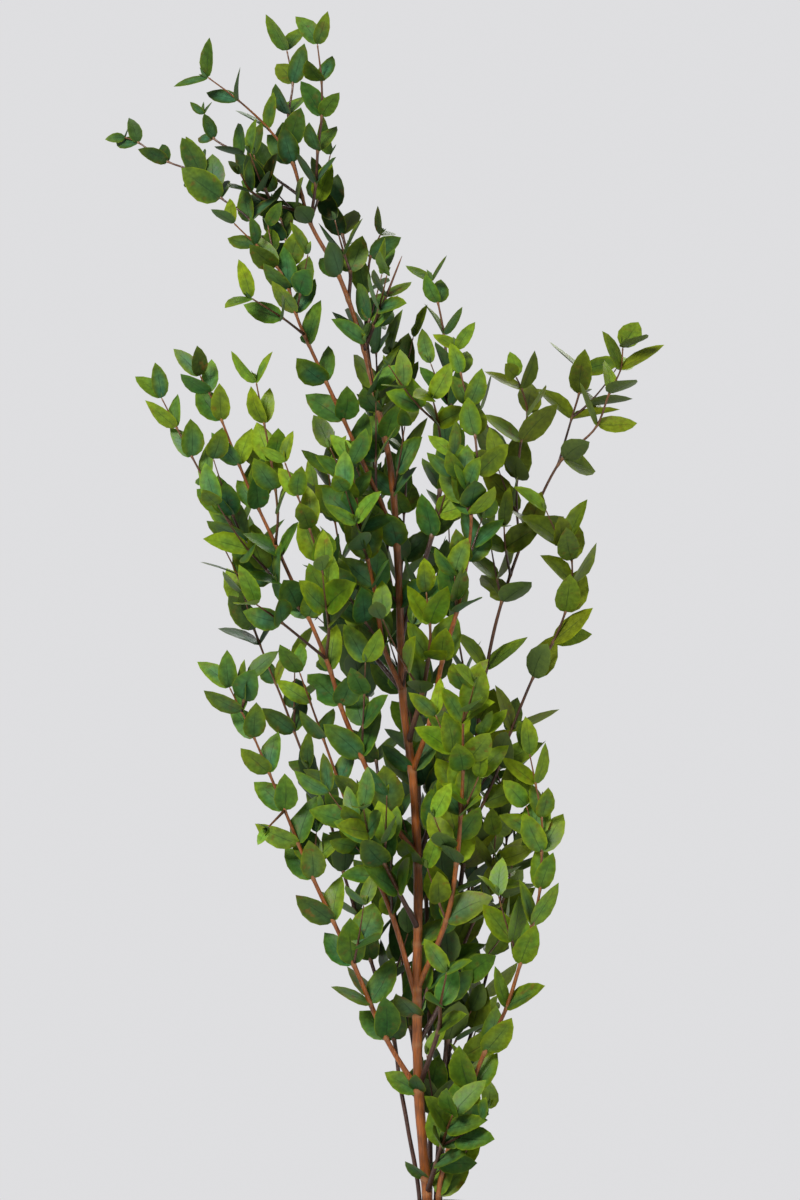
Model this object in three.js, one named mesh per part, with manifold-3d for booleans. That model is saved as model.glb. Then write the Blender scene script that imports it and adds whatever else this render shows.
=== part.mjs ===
// Preserved eucalyptus branches standing in a plain stoneware vase.
// Millimetres, +Z up, -Y towards the viewer, origin at the middle of the vase's foot.

import * as THREE from "three";
import Module from "manifold-3d";
import { mergeVertices } from "three/addons/utils/BufferGeometryUtils.js";

const wasm = await Module();
wasm.setup();

// Vase: a full body and a narrow neck that holds the stems together.
const VASE_HEIGHT = 200;
const VASE_WALL = 4.5;
const VASE_FLOOR = 7;
const FOOT_RADIUS = 38;
const BODY_RADIUS = 56;
const BODY_HEIGHT = 70;
const SHOULDER_RADIUS = 40;
const SHOULDER_HEIGHT = 132;
const NECK_RADIUS = 18;
const NECK_HEIGHT = 178;
const LIP_RADIUS = 20;
const VASE_SIDES = 20;
const VASE_STEPS = 8;

// Stems: heights along a stem are measured from the mouth of the vase. Below it the stems
// splay and twist a little round the middle of the bunch, down to cut ends just above the floor.
const CUT_END = VASE_FLOOR + 0.45 - VASE_HEIGHT;
const BUNCH_MIDDLE = new THREE.Vector2(-3, 2);
const SPLAY = 2;
const TWIST = Math.PI / 3;
const HIDDEN_STEPS = 3;
const DEPTH_SCALE = 1.35;
const DEPTH_RAMP = 150;
const SHOOT_THINNER = 0.68;
const SHOOT_THICKEST = 1.4;
const SHOOT_TIP_RADIUS = 0.6;
const TAPER = 1.2;
const BUD_LENGTH = 2.5;
const THICK_STEM = 2;
const THICK_SIDES = 6;
const STEM_SIDES = 4;
const SHOOT_SIDES = 3;
const STEM_SAMPLE = 3;
const DIRECTION_STEP = 0.02;
const HEIGHT_STEPS = 40;
const DEPTH_EASE = 0.8;
const LAST_RING_GAP = 0.2;

// Leaves: opposite pairs, each pair a quarter turn on from the last. The outline is
// s ** BLADE_ROOT * (1 - s) ** BLADE_TIP along the blade, scaled to 1 at its widest.
const BLADE_THICKNESS = 1.8;
const BLADE_ROOT = 0.52;
const BLADE_TIP = 0.74;
const BLADE_WIDEST = BLADE_ROOT / (BLADE_ROOT + BLADE_TIP);
const RIM_STATIONS = [0.3, 0.66];
const ROOT_OFFSET = 0.1;

// How leaves grow: ranges for the random draws, and the weights of what turns a leaf's face.
const OPEN_ANGLE = [24, 58];
const SIZE_RANGE = [0.9, 1.12];
const CUP_RANGE = [0.02, 0.16];
const BEND_RANGE = [-0.04, 0.13];
const SLIM_RANGE = [0.55, 0.68];
const SLIMMER_TIP = 0.13;
const ROLL_SWAY = 0.35;
const LIFT = 0.12;
const WANTED = { front: 0.8, outward: 0.45, up: 0.3, sway: 0.4 };
const OUTWARD_X = 0.6;
const INNER_SHARE = 0.4;
const WANTED_SHARE = 0.6;
const FIRST_SEED = 1000;
const SEED_STEP = 7919;

// Clearing what is already there: a leaf turns in small steps, then grows shorter.
const TURN_TRIES = 22;
const TURN_STEP = 0.22;
const OPEN_STEP = 0.06;
const SHORTER_AFTER = 11;
const SHORTER = 0.82;
const TEST_MIDRIB = [1, 0.4, 0.7];
const TEST_STATIONS = [0.12, 0.22, 0.32, 0.42, 0.52, 0.62, 0.72, 0.82, 0.91];
const HELD_FROM = 0.1;
const HELD_TIP = 0.98;
const NEIGHBOUR_GAP = { side: 0.8, face: 2.0 };
const SAME_BRANCH_GAP = { side: 0.4, face: 1.8 };
const LEAF_REACH = 3;
const STEM_REACH = { up: 20, beyond: 6 };
const STEM_GAP = { side: 0.4, face: 1.2 };
const OWN_STEM_FREE = 8;
const OTHER_STEM_FREE = 4;
const MOUTH_GAP = 1.5;

// The centre stem stays in view from the front, but for a few stretches that leaves cross.
const SHOWN_STEM = "centre";
const SHOWN_UNTIL = 430;
const SHOWN_SIDE = 0.5;
const CROSSED_STRETCHES = [[44, 60], [188, 200], [217, 228], [334, 350], [381, 400]];

const FRONT = new THREE.Vector3(0, -1, 0);
const UP = new THREE.Vector3(0, 0, 1);

// Fusing leaves edges too short for a closed solid: those under this length are taken out.
const SHORTEST_EDGE = 0.01;

const STONEWARE = 0xdcd8cf;
const LEAF_GREEN = 0x3f6a35;

// Cut stems, which stand in the vase. A route holds x, y and height from the mouth up,
// "leafy" is the height where the leaf pairs begin, "collars" are heights of single
// pairs further down, and "radius" runs from the cut end to the tip.
const CUT_STEMS = [
  {
    name: "centre", leafy: 398, pairs: 8, leaf: [20, 17], open: [28, 62], radius: [2.9, 0.6],
    collars: [14, 58, 96, 132, 172, 219, 258, 300, 330, 356, 384],
    route: [
      [-5, -1, 0], [-9.5, -3, 56], [-10.5, -4, 104], [-10, -4, 164], [-12.5, -4, 214],
      [-17.5, -4, 254], [-19.5, -4, 309], [-23, -4, 364], [-29.5, -2, 398], [-38, 0, 433],
      [-49.5, 2, 466], [-64, 3, 493], [-73, 3, 523], [-85, 2, 540], [-100, 0, 554], [-115, -3, 565],
    ],
  },
  {
    name: "right", leafy: 7, pairs: 13, leaf: [23, 17], open: [18, 44], radius: [1.5, 0.6],
    route: [
      [0, -6, 0], [4.5, -9, 28], [9, -11, 42], [15, -13, 58], [22, -15, 77],
      [33, -18, 100], [40, -20, 122], [46, -22, 142], [50, -23, 160], [51, -24, 179], [51, -24, 196],
      [48, -24, 213], [45, -24, 228],
    ],
  },
  {
    name: "far_right", leafy: 32, pairs: 15, leaf: [24, 21], open: [38, 74], radius: [1.5, 0.6],
    route: [
      [-1, 5, 0], [2, 12, 54], [7, 18, 104], [11, 23, 154], [15, 26, 184],
      [18, 27, 214], [20, 27, 236], [23, 26, 259], [30, 24, 294], [42, 22, 331], [60, 20, 371],
      [79, 16, 390], [86, 14, 407], [92, 12, 420], [93, 10, 431],
    ],
  },
  {
    name: "left", leafy: 83, pairs: 13, leaf: [22, 19], radius: [1.2, 0.6],
    route: [
      [-9, 3, 0], [-15, 6, 39], [-19, 9, 61], [-22, 12, 83], [-28, 16, 104],
      [-35, 20, 126], [-43, 24, 151], [-50, 27, 174], [-57, 29, 201], [-68, 30, 225], [-79, 30, 254],
      [-88, 28, 276], [-96, 25, 299], [-101, 20, 316], [-108, 15, 331],
    ],
  },
  {
    name: "back", leafy: 55, pairs: 15, leaf: [22, 19], radius: [1.4, 0.6],
    route: [
      [-4, 6, 0], [-4, 12, 79], [-5, 20, 129], [-7, 28, 179], [-11, 32, 224],
      [-16, 35, 264], [-21, 36, 299], [-29, 36, 344], [-33, 34, 384], [-30, 30, 404],
    ],
  },
  {
    name: "back_left", leafy: 54, pairs: 13, leaf: [22, 19], radius: [1.3, 0.6],
    route: [
      [-7, 8, 0], [-9, 15, 54], [-16, 27, 104], [-23, 42, 154], [-29, 54, 204],
      [-36, 62, 254], [-44, 64, 294], [-49, 62, 324], [-54, 57, 354], [-56, 52, 374],
    ],
  },
  {
    name: "back_right", leafy: 54, pairs: 11, leaf: [22, 19], radius: [1.3, 0.6],
    route: [
      [1, 9, 0], [4, 18, 54], [9, 34, 104], [16, 48, 154], [20, 56, 204],
      [16, 61, 254], [8, 61, 304], [6, 56, 344],
    ],
  },
];

// Side shoots. Each starts on another stem at the height "from", follows x and height along
// its route, and moves to "depth" (y) by its tip. A bare end carries no leaves.
const SHOOTS = [
  {
    name: "low_left", on: "centre", from: 57.5, depth: -28, pairs: 11, leaf: [22, 19], open: [26, 58],
    route: [[-26, 86], [-42, 123], [-62, 166], [-76, 200], [-91, 236], [-103, 261]],
  },
  {
    name: "low_left_tip", on: "low_left", from: 200, depth: -30, pairs: 1, leaf: [10, 10],
    route: [[-84, 192]],
  },
  {
    name: "big_left", on: "centre", from: 175, depth: -38, pairs: 11, leaf: [23, 17], open: [24, 54],
    route: [[-25, 198], [-46, 245], [-56, 276], [-78, 326], [-95, 363], [-109, 398], [-117, 414]],
  },
  {
    name: "big_left_inner", on: "big_left", from: 275, depth: -55, pairs: 2, leaf: [20, 20],
    route: [[-77, 293], [-89, 302]],
  },
  {
    name: "far_left", on: "big_left", from: 295, depth: -20, pairs: 7, leaf: [21, 17], open: [20, 46],
    route: [[-85, 319], [-106, 347], [-122, 375], [-137, 404]],
  },
  {
    name: "left_inner", on: "big_left", from: 331, depth: -50, pairs: 5, leaf: [19, 17], open: [20, 46],
    route: [[-79, 347], [-82, 372], [-89, 410]],
  },
  {
    name: "left_bright", on: "big_left", from: 275, depth: -55, pairs: 6, leaf: [21, 15], open: [18, 44],
    route: [[-54, 292], [-57, 318], [-65, 344], [-75, 371]],
  },
  {
    name: "mid_left_short", on: "centre", from: 258, depth: 15, pairs: 3, leaf: [21, 20],
    route: [[-35, 280], [-45, 298], [-53, 310]],
  },
  {
    name: "mid_left", on: "centre", from: 258, depth: -30, pairs: 7, leaf: [20, 19],
    route: [[-27, 281], [-32, 311], [-38, 338], [-43, 371]],
  },
  {
    name: "upper_left", on: "centre", from: 334, depth: -25, pairs: 10, leaf: [21, 14],
    route: [[-31, 358], [-49, 398], [-68, 439], [-78, 466], [-101, 490]],
  },
  {
    name: "upper_left_low", on: "upper_left", from: 435, depth: -38, pairs: 2, leaf: [18, 18],
    route: [[-77, 443], [-92, 452]],
  },
  {
    name: "upper_left_inner", on: "upper_left", from: 456, depth: -8, pairs: 4, leaf: [16, 14],
    route: [[-74, 470], [-77, 489], [-82, 501]],
  },
  {
    name: "top_left_short", on: "centre", from: 497, depth: -20, pairs: 3, leaf: [18, 8],
    route: [[-83, 502], [-93, 507], [-98, 515]],
  },
  {
    name: "top_far_left", on: "upper_left", from: 466, depth: 6, pairs: 6, leaf: [21, 9], open: [30, 62],
    route: [[-93, 492], [-108, 504], [-118, 516], [-135, 523], [-150, 533], [-157, 536]],
  },
  {
    name: "top_left", on: "centre", from: 505, depth: 22, pairs: 4, leaf: [18, 8],
    route: [[-86, 519], [-98, 528], [-113, 537], [-118, 550]],
  },
  {
    name: "top_tall", on: "centre", from: 505, depth: 15, pairs: 4, leaf: [18, 19], open: [30, 66],
    route: [[-74, 532], [-75, 548], [-73, 564], [-76, 581]],
  },
  {
    name: "top_right", on: "centre", from: 493, depth: -14, pairs: 5, leaf: [17, 17], open: [28, 60],
    route: [[-61, 512], [-60, 528], [-58, 545], [-58, 562], [-60, 580]],
  },
  {
    name: "top_right_low", on: "centre", from: 454, depth: 26, pairs: 4, leaf: [20, 15],
    route: [[-44, 469], [-48, 488], [-52, 502], [-57, 515]],
  },
  {
    name: "dark_right", on: "centre", from: 418, depth: 35, pairs: 4, leaf: [19, 15],
    route: [[-36, 439], [-36, 459], [-34, 478], [-29, 490]],
  },
  {
    name: "bare_tip", on: "centre", from: 428, depth: -12, pairs: 2, leaf: [18, 17],
    bare: [-18, 475],
    route: [[-32, 441], [-26, 455]],
  },
  {
    name: "right_spire", on: "centre", from: 284, depth: 5, pairs: 9, leaf: [20, 14],
    route: [[-13, 304], [-3, 336], [1, 359], [4, 381], [6, 401], [5, 417], [3, 437], [0, 453], [-3, 464]],
  },
  {
    name: "right_spire_inner", on: "right_spire", from: 370, depth: -35, pairs: 2, leaf: [18, 17],
    route: [[0, 391], [-3, 403]],
  },
  {
    name: "right_inner", on: "centre", from: 218, depth: -40, pairs: 7, leaf: [22, 16],
    route: [[-4, 244], [2, 274], [9, 298], [14, 323], [16, 346], [12, 364], [7, 375]],
  },
  {
    name: "right_bright", on: "right_inner", from: 345, depth: -22, pairs: 5, leaf: [20, 14],
    route: [[19, 366], [18, 385], [15, 400], [11, 416], [9, 428]],
  },
  {
    name: "low_right", on: "centre", from: 109, depth: -42, pairs: 6, leaf: [22, 19],
    route: [[4, 145], [9, 174], [11, 198], [12, 220], [12, 244], [14, 259]],
  },
  {
    name: "mouth_right", on: "centre", from: 6, depth: -25, pairs: 4, leaf: [23, 20],
    route: [[-1, 24], [3, 38], [7, 50]],
  },
  {
    name: "low_front", on: "centre", from: 82, depth: 20, pairs: 5, leaf: [22, 19],
    route: [[2, 104], [6, 128], [8, 150], [7, 172]],
  },
  {
    name: "low_left_back", on: "centre", from: 140, depth: -34, pairs: 4, leaf: [22, 19],
    route: [[-20, 160], [-30, 180], [-40, 196]],
  },
  {
    name: "mid_bright", on: "centre", from: 232, depth: -26, pairs: 4, leaf: [21, 19],
    route: [[-8, 258], [-4, 284], [-6, 308]],
  },
  {
    name: "low_right_short", on: "centre", from: 59, depth: -32, pairs: 3, leaf: [18, 17],
    route: [[0, 90], [1, 104], [4, 121]],
  },
  {
    name: "low_left_inner", on: "centre", from: 104, depth: -8, pairs: 8, leaf: [21, 18],
    route: [[-23, 147], [-35, 175], [-45, 201], [-59, 240], [-69, 268]],
  },
  {
    name: "mid_front", on: "centre", from: 172, depth: 25, pairs: 4, leaf: [21, 18],
    route: [[-5, 189], [-2, 204], [1, 221], [2, 236]],
  },
  {
    name: "far_right_back", on: "far_right", from: 50, depth: 38, pairs: 9, leaf: [23, 20], open: [34, 70],
    route: [[13, 74], [20, 96], [28, 128], [33, 160], [36, 190], [39, 216]],
  },
  {
    name: "far_right_front", on: "far_right", from: 118, depth: 6, pairs: 4, leaf: [22, 20], open: [34, 70],
    route: [[18, 142], [26, 162], [29, 186]],
  },
  {
    name: "lobe_left", on: "far_right", from: 331, depth: 5, pairs: 6, leaf: [24, 15], open: [34, 70],
    route: [[40, 348], [40, 365], [42, 384], [45, 398], [42, 410], [39, 416]],
  },
  {
    name: "lobe_inner", on: "far_right", from: 372, depth: 36, pairs: 3, leaf: [21, 20], open: [34, 70],
    route: [[68, 396], [72, 409], [74, 421]],
  },
  {
    name: "lobe_low", on: "far_right", from: 316, depth: 0, pairs: 2, leaf: [20, 18], open: [34, 66],
    route: [[34, 330], [33, 341]],
  },
  {
    name: "wide_right", on: "far_right", from: 184, depth: 0, pairs: 9, leaf: [24, 21], open: [26, 56],
    route: [
      [23, 201], [31, 220], [37, 238], [48, 265], [58, 283], [64, 298], [67, 312], [67, 324], [65, 334],
    ],
  },
  {
    name: "back_upper", on: "back", from: 285, depth: 18, pairs: 5, leaf: [20, 20],
    route: [[-18, 324], [-17, 348], [-17, 379], [-20, 408], [-24, 428]],
  },
];

// Random draws that come out alike in any language.
const DRAW_FACTOR = 16807;
const DRAW_MODULUS = 2147483647;
const WARM_UP_DRAWS = 4;

class Draw {
  constructor(seed) {
    this.state = seed;
    for (let i = 0; i < WARM_UP_DRAWS; i += 1) this.next();
  }

  next() {
    this.state = (this.state * DRAW_FACTOR) % DRAW_MODULUS;
    return this.state / DRAW_MODULUS;
  }

  between(low, high) {
    return low + (high - low) * this.next();
  }
}

const mix = THREE.MathUtils.lerp;

// A smooth stem through its route points. "u" counts route points from the stem's foot.
class Stem {
  constructor(name, branch, points, radius) {
    this.name = name;
    this.branch = branch;
    this.curve = new THREE.CatmullRomCurve3(points, false, "catmullrom", 0.5);
    this.end = points.length - 1;
    this.radius = radius;
  }

  at(u) {
    return this.curve.getPoint(u / this.end);
  }

  direction(u) {
    const before = this.at(Math.max(u - DIRECTION_STEP, 0));
    const after = this.at(Math.min(u + DIRECTION_STEP, this.end));
    return after.sub(before).normalize();
  }

  radiusAt(u) {
    return mix(this.radius[0], this.radius[1], (u / this.end) ** TAPER);
  }

  atHeight(z) {
    const steps = HEIGHT_STEPS * this.end;
    for (let i = 0; i <= steps; i += 1) {
      const u = (this.end * i) / steps;
      if (this.at(u).z >= z) return u;
    }
    return this.end;
  }

  isShown(z) {
    const height = z - VASE_HEIGHT;
    return this.name === SHOWN_STEM && height > 0 && height < SHOWN_UNTIL
      && !CROSSED_STRETCHES.some(([low, high]) => height > low && height < high);
  }

  samples() {
    const found = [];
    const points = this.curve.points;
    for (let i = 0; i < this.end; i += 1) {
      const count = Math.max(2, Math.ceil(points[i + 1].distanceTo(points[i]) / STEM_SAMPLE));
      for (let k = 0; k < count; k += 1) {
        const u = i + k / count;
        const point = this.at(u);
        found.push({ point, radius: this.radiusAt(u), stem: this.name, shown: this.isShown(point.z) });
      }
    }
    return found;
  }
}

function cutStem(spec) {
  const points = spec.route.map(([x, y, height]) => {
    const ramp = Math.min(height / DEPTH_RAMP, 1);
    return new THREE.Vector3(x, y * mix(1, DEPTH_SCALE, ramp), height + VASE_HEIGHT);
  });
  const [x, y] = spec.route[0];
  const mouth = new THREE.Vector2(x, y).sub(BUNCH_MIDDLE);
  const splayed = mouth.clone().rotateAround(new THREE.Vector2(), TWIST).multiplyScalar(SPLAY);
  for (let i = 1; i <= HIDDEN_STEPS; i += 1) {
    const place = mouth.clone().lerp(splayed, i / HIDDEN_STEPS).add(BUNCH_MIDDLE);
    points.unshift(new THREE.Vector3(place.x, place.y, VASE_HEIGHT + (CUT_END * i) / HIDDEN_STEPS));
  }
  return new Stem(spec.name, spec.name, points, spec.radius);
}

function sideShoot(spec, parent) {
  const foot = parent.atHeight(spec.from + VASE_HEIGHT);
  const root = parent.at(foot);
  const route = spec.bare ? [...spec.route, spec.bare] : spec.route;
  const points = [root];
  route.forEach(([x, height], i) => {
    const y = mix(root.y, spec.depth * DEPTH_SCALE, ((i + 1) / route.length) ** DEPTH_EASE);
    points.push(new THREE.Vector3(x, y, height + VASE_HEIGHT));
  });
  const thick = Math.min(parent.radiusAt(foot) * SHOOT_THINNER, SHOOT_THICKEST);
  return new Stem(spec.name, parent.branch, points, [thick, SHOOT_TIP_RADIUS]);
}

function bladeWidth(s) {
  if (s <= 0 || s >= 1) return 0;
  const widest = BLADE_WIDEST ** BLADE_ROOT * (1 - BLADE_WIDEST) ** BLADE_TIP;
  return (s ** BLADE_ROOT * (1 - s) ** BLADE_TIP) / widest;
}

// A blade from its root along "along", with "across" over its width and "face" off its face.
class Leaf {
  constructor(stem, root, turned, size) {
    Object.assign(this, turned, size);
    this.stem = stem;
    this.root = root;
    this.rim = TEST_MIDRIB.map((s) => this.point(s, 0));
    for (const s of TEST_STATIONS) this.rim.push(this.point(s, -1), this.point(s, 1));
    this.middle = this.point(0.5, 0);
  }

  rise(s, across) {
    return (this.cup * across * across) / this.half - this.bend * this.length * s * s;
  }

  point(s, q, off = 0) {
    const across = q * this.half * bladeWidth(s);
    return this.root.clone()
      .addScaledVector(this.along, s * this.length)
      .addScaledVector(this.across, across)
      .addScaledVector(this.face, this.rise(s, across) + off);
  }

  // Whether a point lies within "side" of the blade's outline and "gap" of its surface.
  holds(point, side, gap) {
    const from = point.clone().sub(this.root);
    const s = from.dot(this.along) / this.length;
    if (s < HELD_FROM || s > 1 + side / this.length) return false;
    const across = from.dot(this.across);
    if (Math.abs(across) > this.half * bladeWidth(Math.min(s, HELD_TIP)) + side) return false;
    return Math.abs(from.dot(this.face) - this.rise(s, across)) < gap;
  }

  meetsLeaf(other) {
    const reach = (other.length + this.length) / 2 + LEAF_REACH;
    if (other.middle.distanceTo(this.middle) > reach) return false;
    const same = other.stem.branch === this.stem.branch;
    const { side, face } = same ? SAME_BRANCH_GAP : NEIGHBOUR_GAP;
    return this.rim.some((point) => other.holds(point, side, face))
      || other.rim.some((point) => this.holds(point, side, face));
  }

  meetsStem({ point, radius, stem }) {
    if (Math.abs(point.z - this.middle.z) > STEM_REACH.up) return false;
    if (point.distanceTo(this.middle) > this.length / 2 + STEM_REACH.beyond) return false;
    const free = stem === this.stem.name ? OWN_STEM_FREE : OTHER_STEM_FREE;
    if (point.distanceTo(this.root) < free) return false;
    return this.holds(point, radius + STEM_GAP.side, radius + STEM_GAP.face);
  }

  // Whether the blade lies in front of a point that stays in view, past its own foot.
  hides({ point, radius, shown }) {
    if (!shown || point.distanceTo(this.root) < OWN_STEM_FREE) return false;
    if (Math.abs(point.z - this.middle.z) > this.length) return false;
    const ahead = this.root.clone().sub(point).dot(this.face) / FRONT.dot(this.face);
    return ahead > 0
      && this.holds(point.clone().addScaledVector(FRONT, ahead), radius + SHOWN_SIDE, Infinity);
  }

  clears(leaves, samples) {
    return this.rim.every((point) => point.z > VASE_HEIGHT + MOUTH_GAP)
      && !samples.some((sample) => this.hides(sample))
      && !leaves.some((other) => this.meetsLeaf(other))
      && !samples.some((sample) => this.meetsStem(sample));
  }
}

// The places of leaf pairs on a stem, with how far along the leafy part each one is.
function pairPlaces(spec, stem) {
  const first = spec.leafy ? stem.atHeight(spec.leafy + VASE_HEIGHT) : 1;
  const last = spec.bare ? stem.end - 1 : stem.end;
  const places = [];
  for (let k = 0; k < spec.pairs; k += 1) {
    const t = spec.pairs > 1 ? k / (spec.pairs - 1) : 0.5;
    places.push({ u: mix(first, last, t), t });
  }
  for (const height of spec.collars ?? []) places.push({ u: stem.atHeight(height + VASE_HEIGHT), t: 0 });
  return places;
}

// One leaf, turned step by step until it clears the leaves and stems already there.
function growLeaf(stem, place, roll, draw, spec, leaves, samples) {
  const root = stem.at(place.u);
  const ahead = stem.direction(place.u);
  const sideways = ahead.clone().cross(FRONT).normalize();
  const forward = sideways.clone().cross(ahead);
  const size = mix(spec.leaf[0], spec.leaf[1], place.t ** 2) * draw.between(...SIZE_RANGE);
  const [narrow, wide] = spec.open ?? OPEN_ANGLE;
  const open = THREE.MathUtils.degToRad(draw.between(narrow, wide));
  const sway = new THREE.Vector3(draw.between(-1, 1), draw.between(-1, 1), draw.between(-1, 1));
  const cup = draw.between(...CUP_RANGE);
  const bend = draw.between(...BEND_RANGE);
  const slim = draw.between(...SLIM_RANGE) - SLIMMER_TIP * place.t;
  const outward = new THREE.Vector3(root.x * OUTWARD_X, root.y, 0).normalize();
  const wanted = FRONT.clone().multiplyScalar(WANTED.front)
    .addScaledVector(outward, WANTED.outward)
    .addScaledVector(UP, WANTED.up)
    .addScaledVector(sway, WANTED.sway)
    .normalize();
  for (let attempt = 0; attempt < TURN_TRIES; attempt += 1) {
    const step = Math.floor((attempt + 1) / 2) * (attempt % 2 ? 1 : -1);
    const angle = roll + step * TURN_STEP;
    const tilt = open + step * OPEN_STEP;
    const off = sideways.clone().multiplyScalar(Math.cos(angle)).addScaledVector(forward, Math.sin(angle));
    const along = ahead.clone().multiplyScalar(Math.cos(tilt))
      .addScaledVector(off, Math.sin(tilt))
      .addScaledVector(UP, LIFT)
      .normalize();
    const inner = ahead.clone().multiplyScalar(Math.sin(tilt)).addScaledVector(off, -Math.cos(tilt));
    const flip = inner.dot(wanted) >= 0 ? 1 : -1;
    const face = inner.multiplyScalar(INNER_SHARE * flip).addScaledVector(wanted, WANTED_SHARE);
    face.addScaledVector(along, -face.dot(along)).normalize();
    const across = face.clone().cross(along);
    const length = size * (attempt < SHORTER_AFTER ? 1 : SHORTER);
    const half = (length * slim) / 2;
    const leaf = new Leaf(stem, root, { along, across, face }, { length, half, cup, bend });
    if (leaf.clears(leaves, samples)) return leaf;
  }
  return null;
}

function growLeaves(specs, stems) {
  const samples = [...stems.values()].flatMap((stem) => stem.samples());
  const leaves = [];
  specs.forEach((spec, index) => {
    const stem = stems.get(spec.name);
    const draw = new Draw(FIRST_SEED + index * SEED_STEP);
    const firstRoll = draw.between(0, Math.PI / 2);
    pairPlaces(spec, stem).forEach((place, k) => {
      const roll = firstRoll + (k * Math.PI) / 2 + draw.between(-ROLL_SWAY, ROLL_SWAY);
      for (const side of [0, Math.PI]) {
        const leaf = growLeaf(stem, place, roll + side, draw, spec, leaves, samples);
        if (leaf) leaves.push(leaf);
      }
    });
  });
  return leaves;
}

function solidOf(vertices, triangles) {
  return new wasm.Manifold(new wasm.Mesh({
    numProp: 3,
    vertProperties: Float32Array.from(vertices.flatMap((v) => [v.x, v.y, v.z])),
    triVerts: Uint32Array.from(triangles.flat()),
  }));
}

// Where a stem has rings of points: at its leaf pairs, and between them and its foot.
function ringPlaces(spec, stem) {
  const pairs = pairPlaces(spec, stem).map((place) => place.u);
  const places = new Set([...pairs, 0, stem.end]);
  const lowest = Math.min(...pairs);
  const between = spec.leafy ? 1 : 0.5;
  for (let u = between; u < lowest - LAST_RING_GAP; u += between) places.add(u);
  return [...places].sort((a, b) => a - b);
}

function sidesOf(spec) {
  if (spec.on) return SHOOT_SIDES;
  return spec.radius[0] > THICK_STEM ? THICK_SIDES : STEM_SIDES;
}

// A tapered round stem through its rings, closed by a cap at the foot and a pointed bud.
function stemSolid(spec, stem) {
  const vertices = [];
  const triangles = [];
  const rings = ringPlaces(spec, stem);
  const sides = sidesOf(spec);
  for (const u of rings) {
    const ahead = stem.direction(u);
    const right = ahead.clone().cross(FRONT).normalize();
    const forward = right.clone().cross(ahead);
    for (let k = 0; k < sides; k += 1) {
      const angle = (2 * Math.PI * k) / sides;
      vertices.push(stem.at(u)
        .addScaledVector(right, stem.radiusAt(u) * Math.cos(angle))
        .addScaledVector(forward, stem.radiusAt(u) * Math.sin(angle)));
    }
  }
  const bud = vertices.length;
  vertices.push(stem.at(stem.end).addScaledVector(stem.direction(stem.end), BUD_LENGTH));
  for (let i = 0; i < rings.length; i += 1) {
    for (let k = 0; k < sides; k += 1) {
      const a = i * sides + k;
      const b = i * sides + ((k + 1) % sides);
      if (i === rings.length - 1) triangles.push([a, bud, b]);
      else triangles.push([a, b + sides, b], [a, a + sides, b + sides]);
    }
  }
  for (let k = 1; k < sides - 1; k += 1) triangles.push([0, k, k + 1]);
  return solidOf(vertices, triangles);
}

// A leaf blade: a six-cornered outline from root to tip, flat on its back and raised to a
// crest on its face.
function leafSolid(leaf) {
  const [low, high] = RIM_STATIONS;
  const sides = [leaf.point(low, -1), leaf.point(high, -1), leaf.point(high, 1), leaf.point(low, 1)];
  const crest = new THREE.Vector3();
  for (const point of sides) crest.addScaledVector(point, 1 / sides.length);
  crest.addScaledVector(leaf.face, BLADE_THICKNESS);
  const root = leaf.point(ROOT_OFFSET / leaf.length, 0);
  const vertices = [root, sides[0], sides[1], leaf.point(1, 0), sides[2], sides[3], crest];
  const back = [[0, 5, 1], [1, 5, 2], [5, 4, 2], [2, 4, 3]];
  const face = [[6, 0, 1], [6, 1, 2], [6, 2, 3], [6, 3, 4], [6, 4, 5], [6, 5, 0]];
  return solidOf(vertices, [...back, ...face]);
}

// The vase's wall is a smooth outline, and the same outline a wall's thickness further in.
function vaseGeometry() {
  const outline = new THREE.SplineCurve([
    new THREE.Vector2(FOOT_RADIUS, 0),
    new THREE.Vector2(BODY_RADIUS, BODY_HEIGHT),
    new THREE.Vector2(SHOULDER_RADIUS, SHOULDER_HEIGHT),
    new THREE.Vector2(NECK_RADIUS, NECK_HEIGHT),
    new THREE.Vector2(LIP_RADIUS, VASE_HEIGHT),
  ]);
  const outer = outline.getPoints(VASE_STEPS);
  const inner = [];
  for (let i = VASE_STEPS; i > 0; i -= 1) {
    const along = outline.getTangent(i / VASE_STEPS);
    const point = outer[i].clone().add(new THREE.Vector2(-along.y, along.x).multiplyScalar(VASE_WALL));
    if (i === VASE_STEPS) point.y = VASE_HEIGHT;
    inner.push(point);
  }
  const floor = new THREE.Vector2(inner[inner.length - 1].x - VASE_WALL, VASE_FLOOR);
  const profile = [
    new THREE.Vector2(0, 0), ...outer, ...inner, floor, new THREE.Vector2(0, VASE_FLOOR),
  ];
  const geometry = new THREE.LatheGeometry(profile, VASE_SIDES);
  geometry.deleteAttribute("normal");
  geometry.deleteAttribute("uv");
  geometry.rotateX(Math.PI / 2);
  return mergeVertices(geometry, 1e-4);
}

function geometryOf(solid) {
  const mesh = solid.getMesh();
  const geometry = new THREE.BufferGeometry();
  geometry.setAttribute("position", new THREE.BufferAttribute(mesh.vertProperties, 3));
  geometry.setIndex(new THREE.BufferAttribute(mesh.triVerts, 1));
  return geometry;
}

function finish(color, roughness) {
  return new THREE.MeshStandardMaterial({ color, roughness, metalness: 0 });
}

const object = new THREE.Group();

const vase = new THREE.Mesh(vaseGeometry(), finish(STONEWARE, 0.55));
vase.name = "vase";
object.add(vase);

const stems = new Map();
for (const spec of CUT_STEMS) stems.set(spec.name, cutStem(spec));
for (const spec of SHOOTS) stems.set(spec.name, sideShoot(spec, stems.get(spec.on)));
const specs = [...CUT_STEMS, ...SHOOTS];
const leaves = growLeaves(specs, stems);

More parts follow.
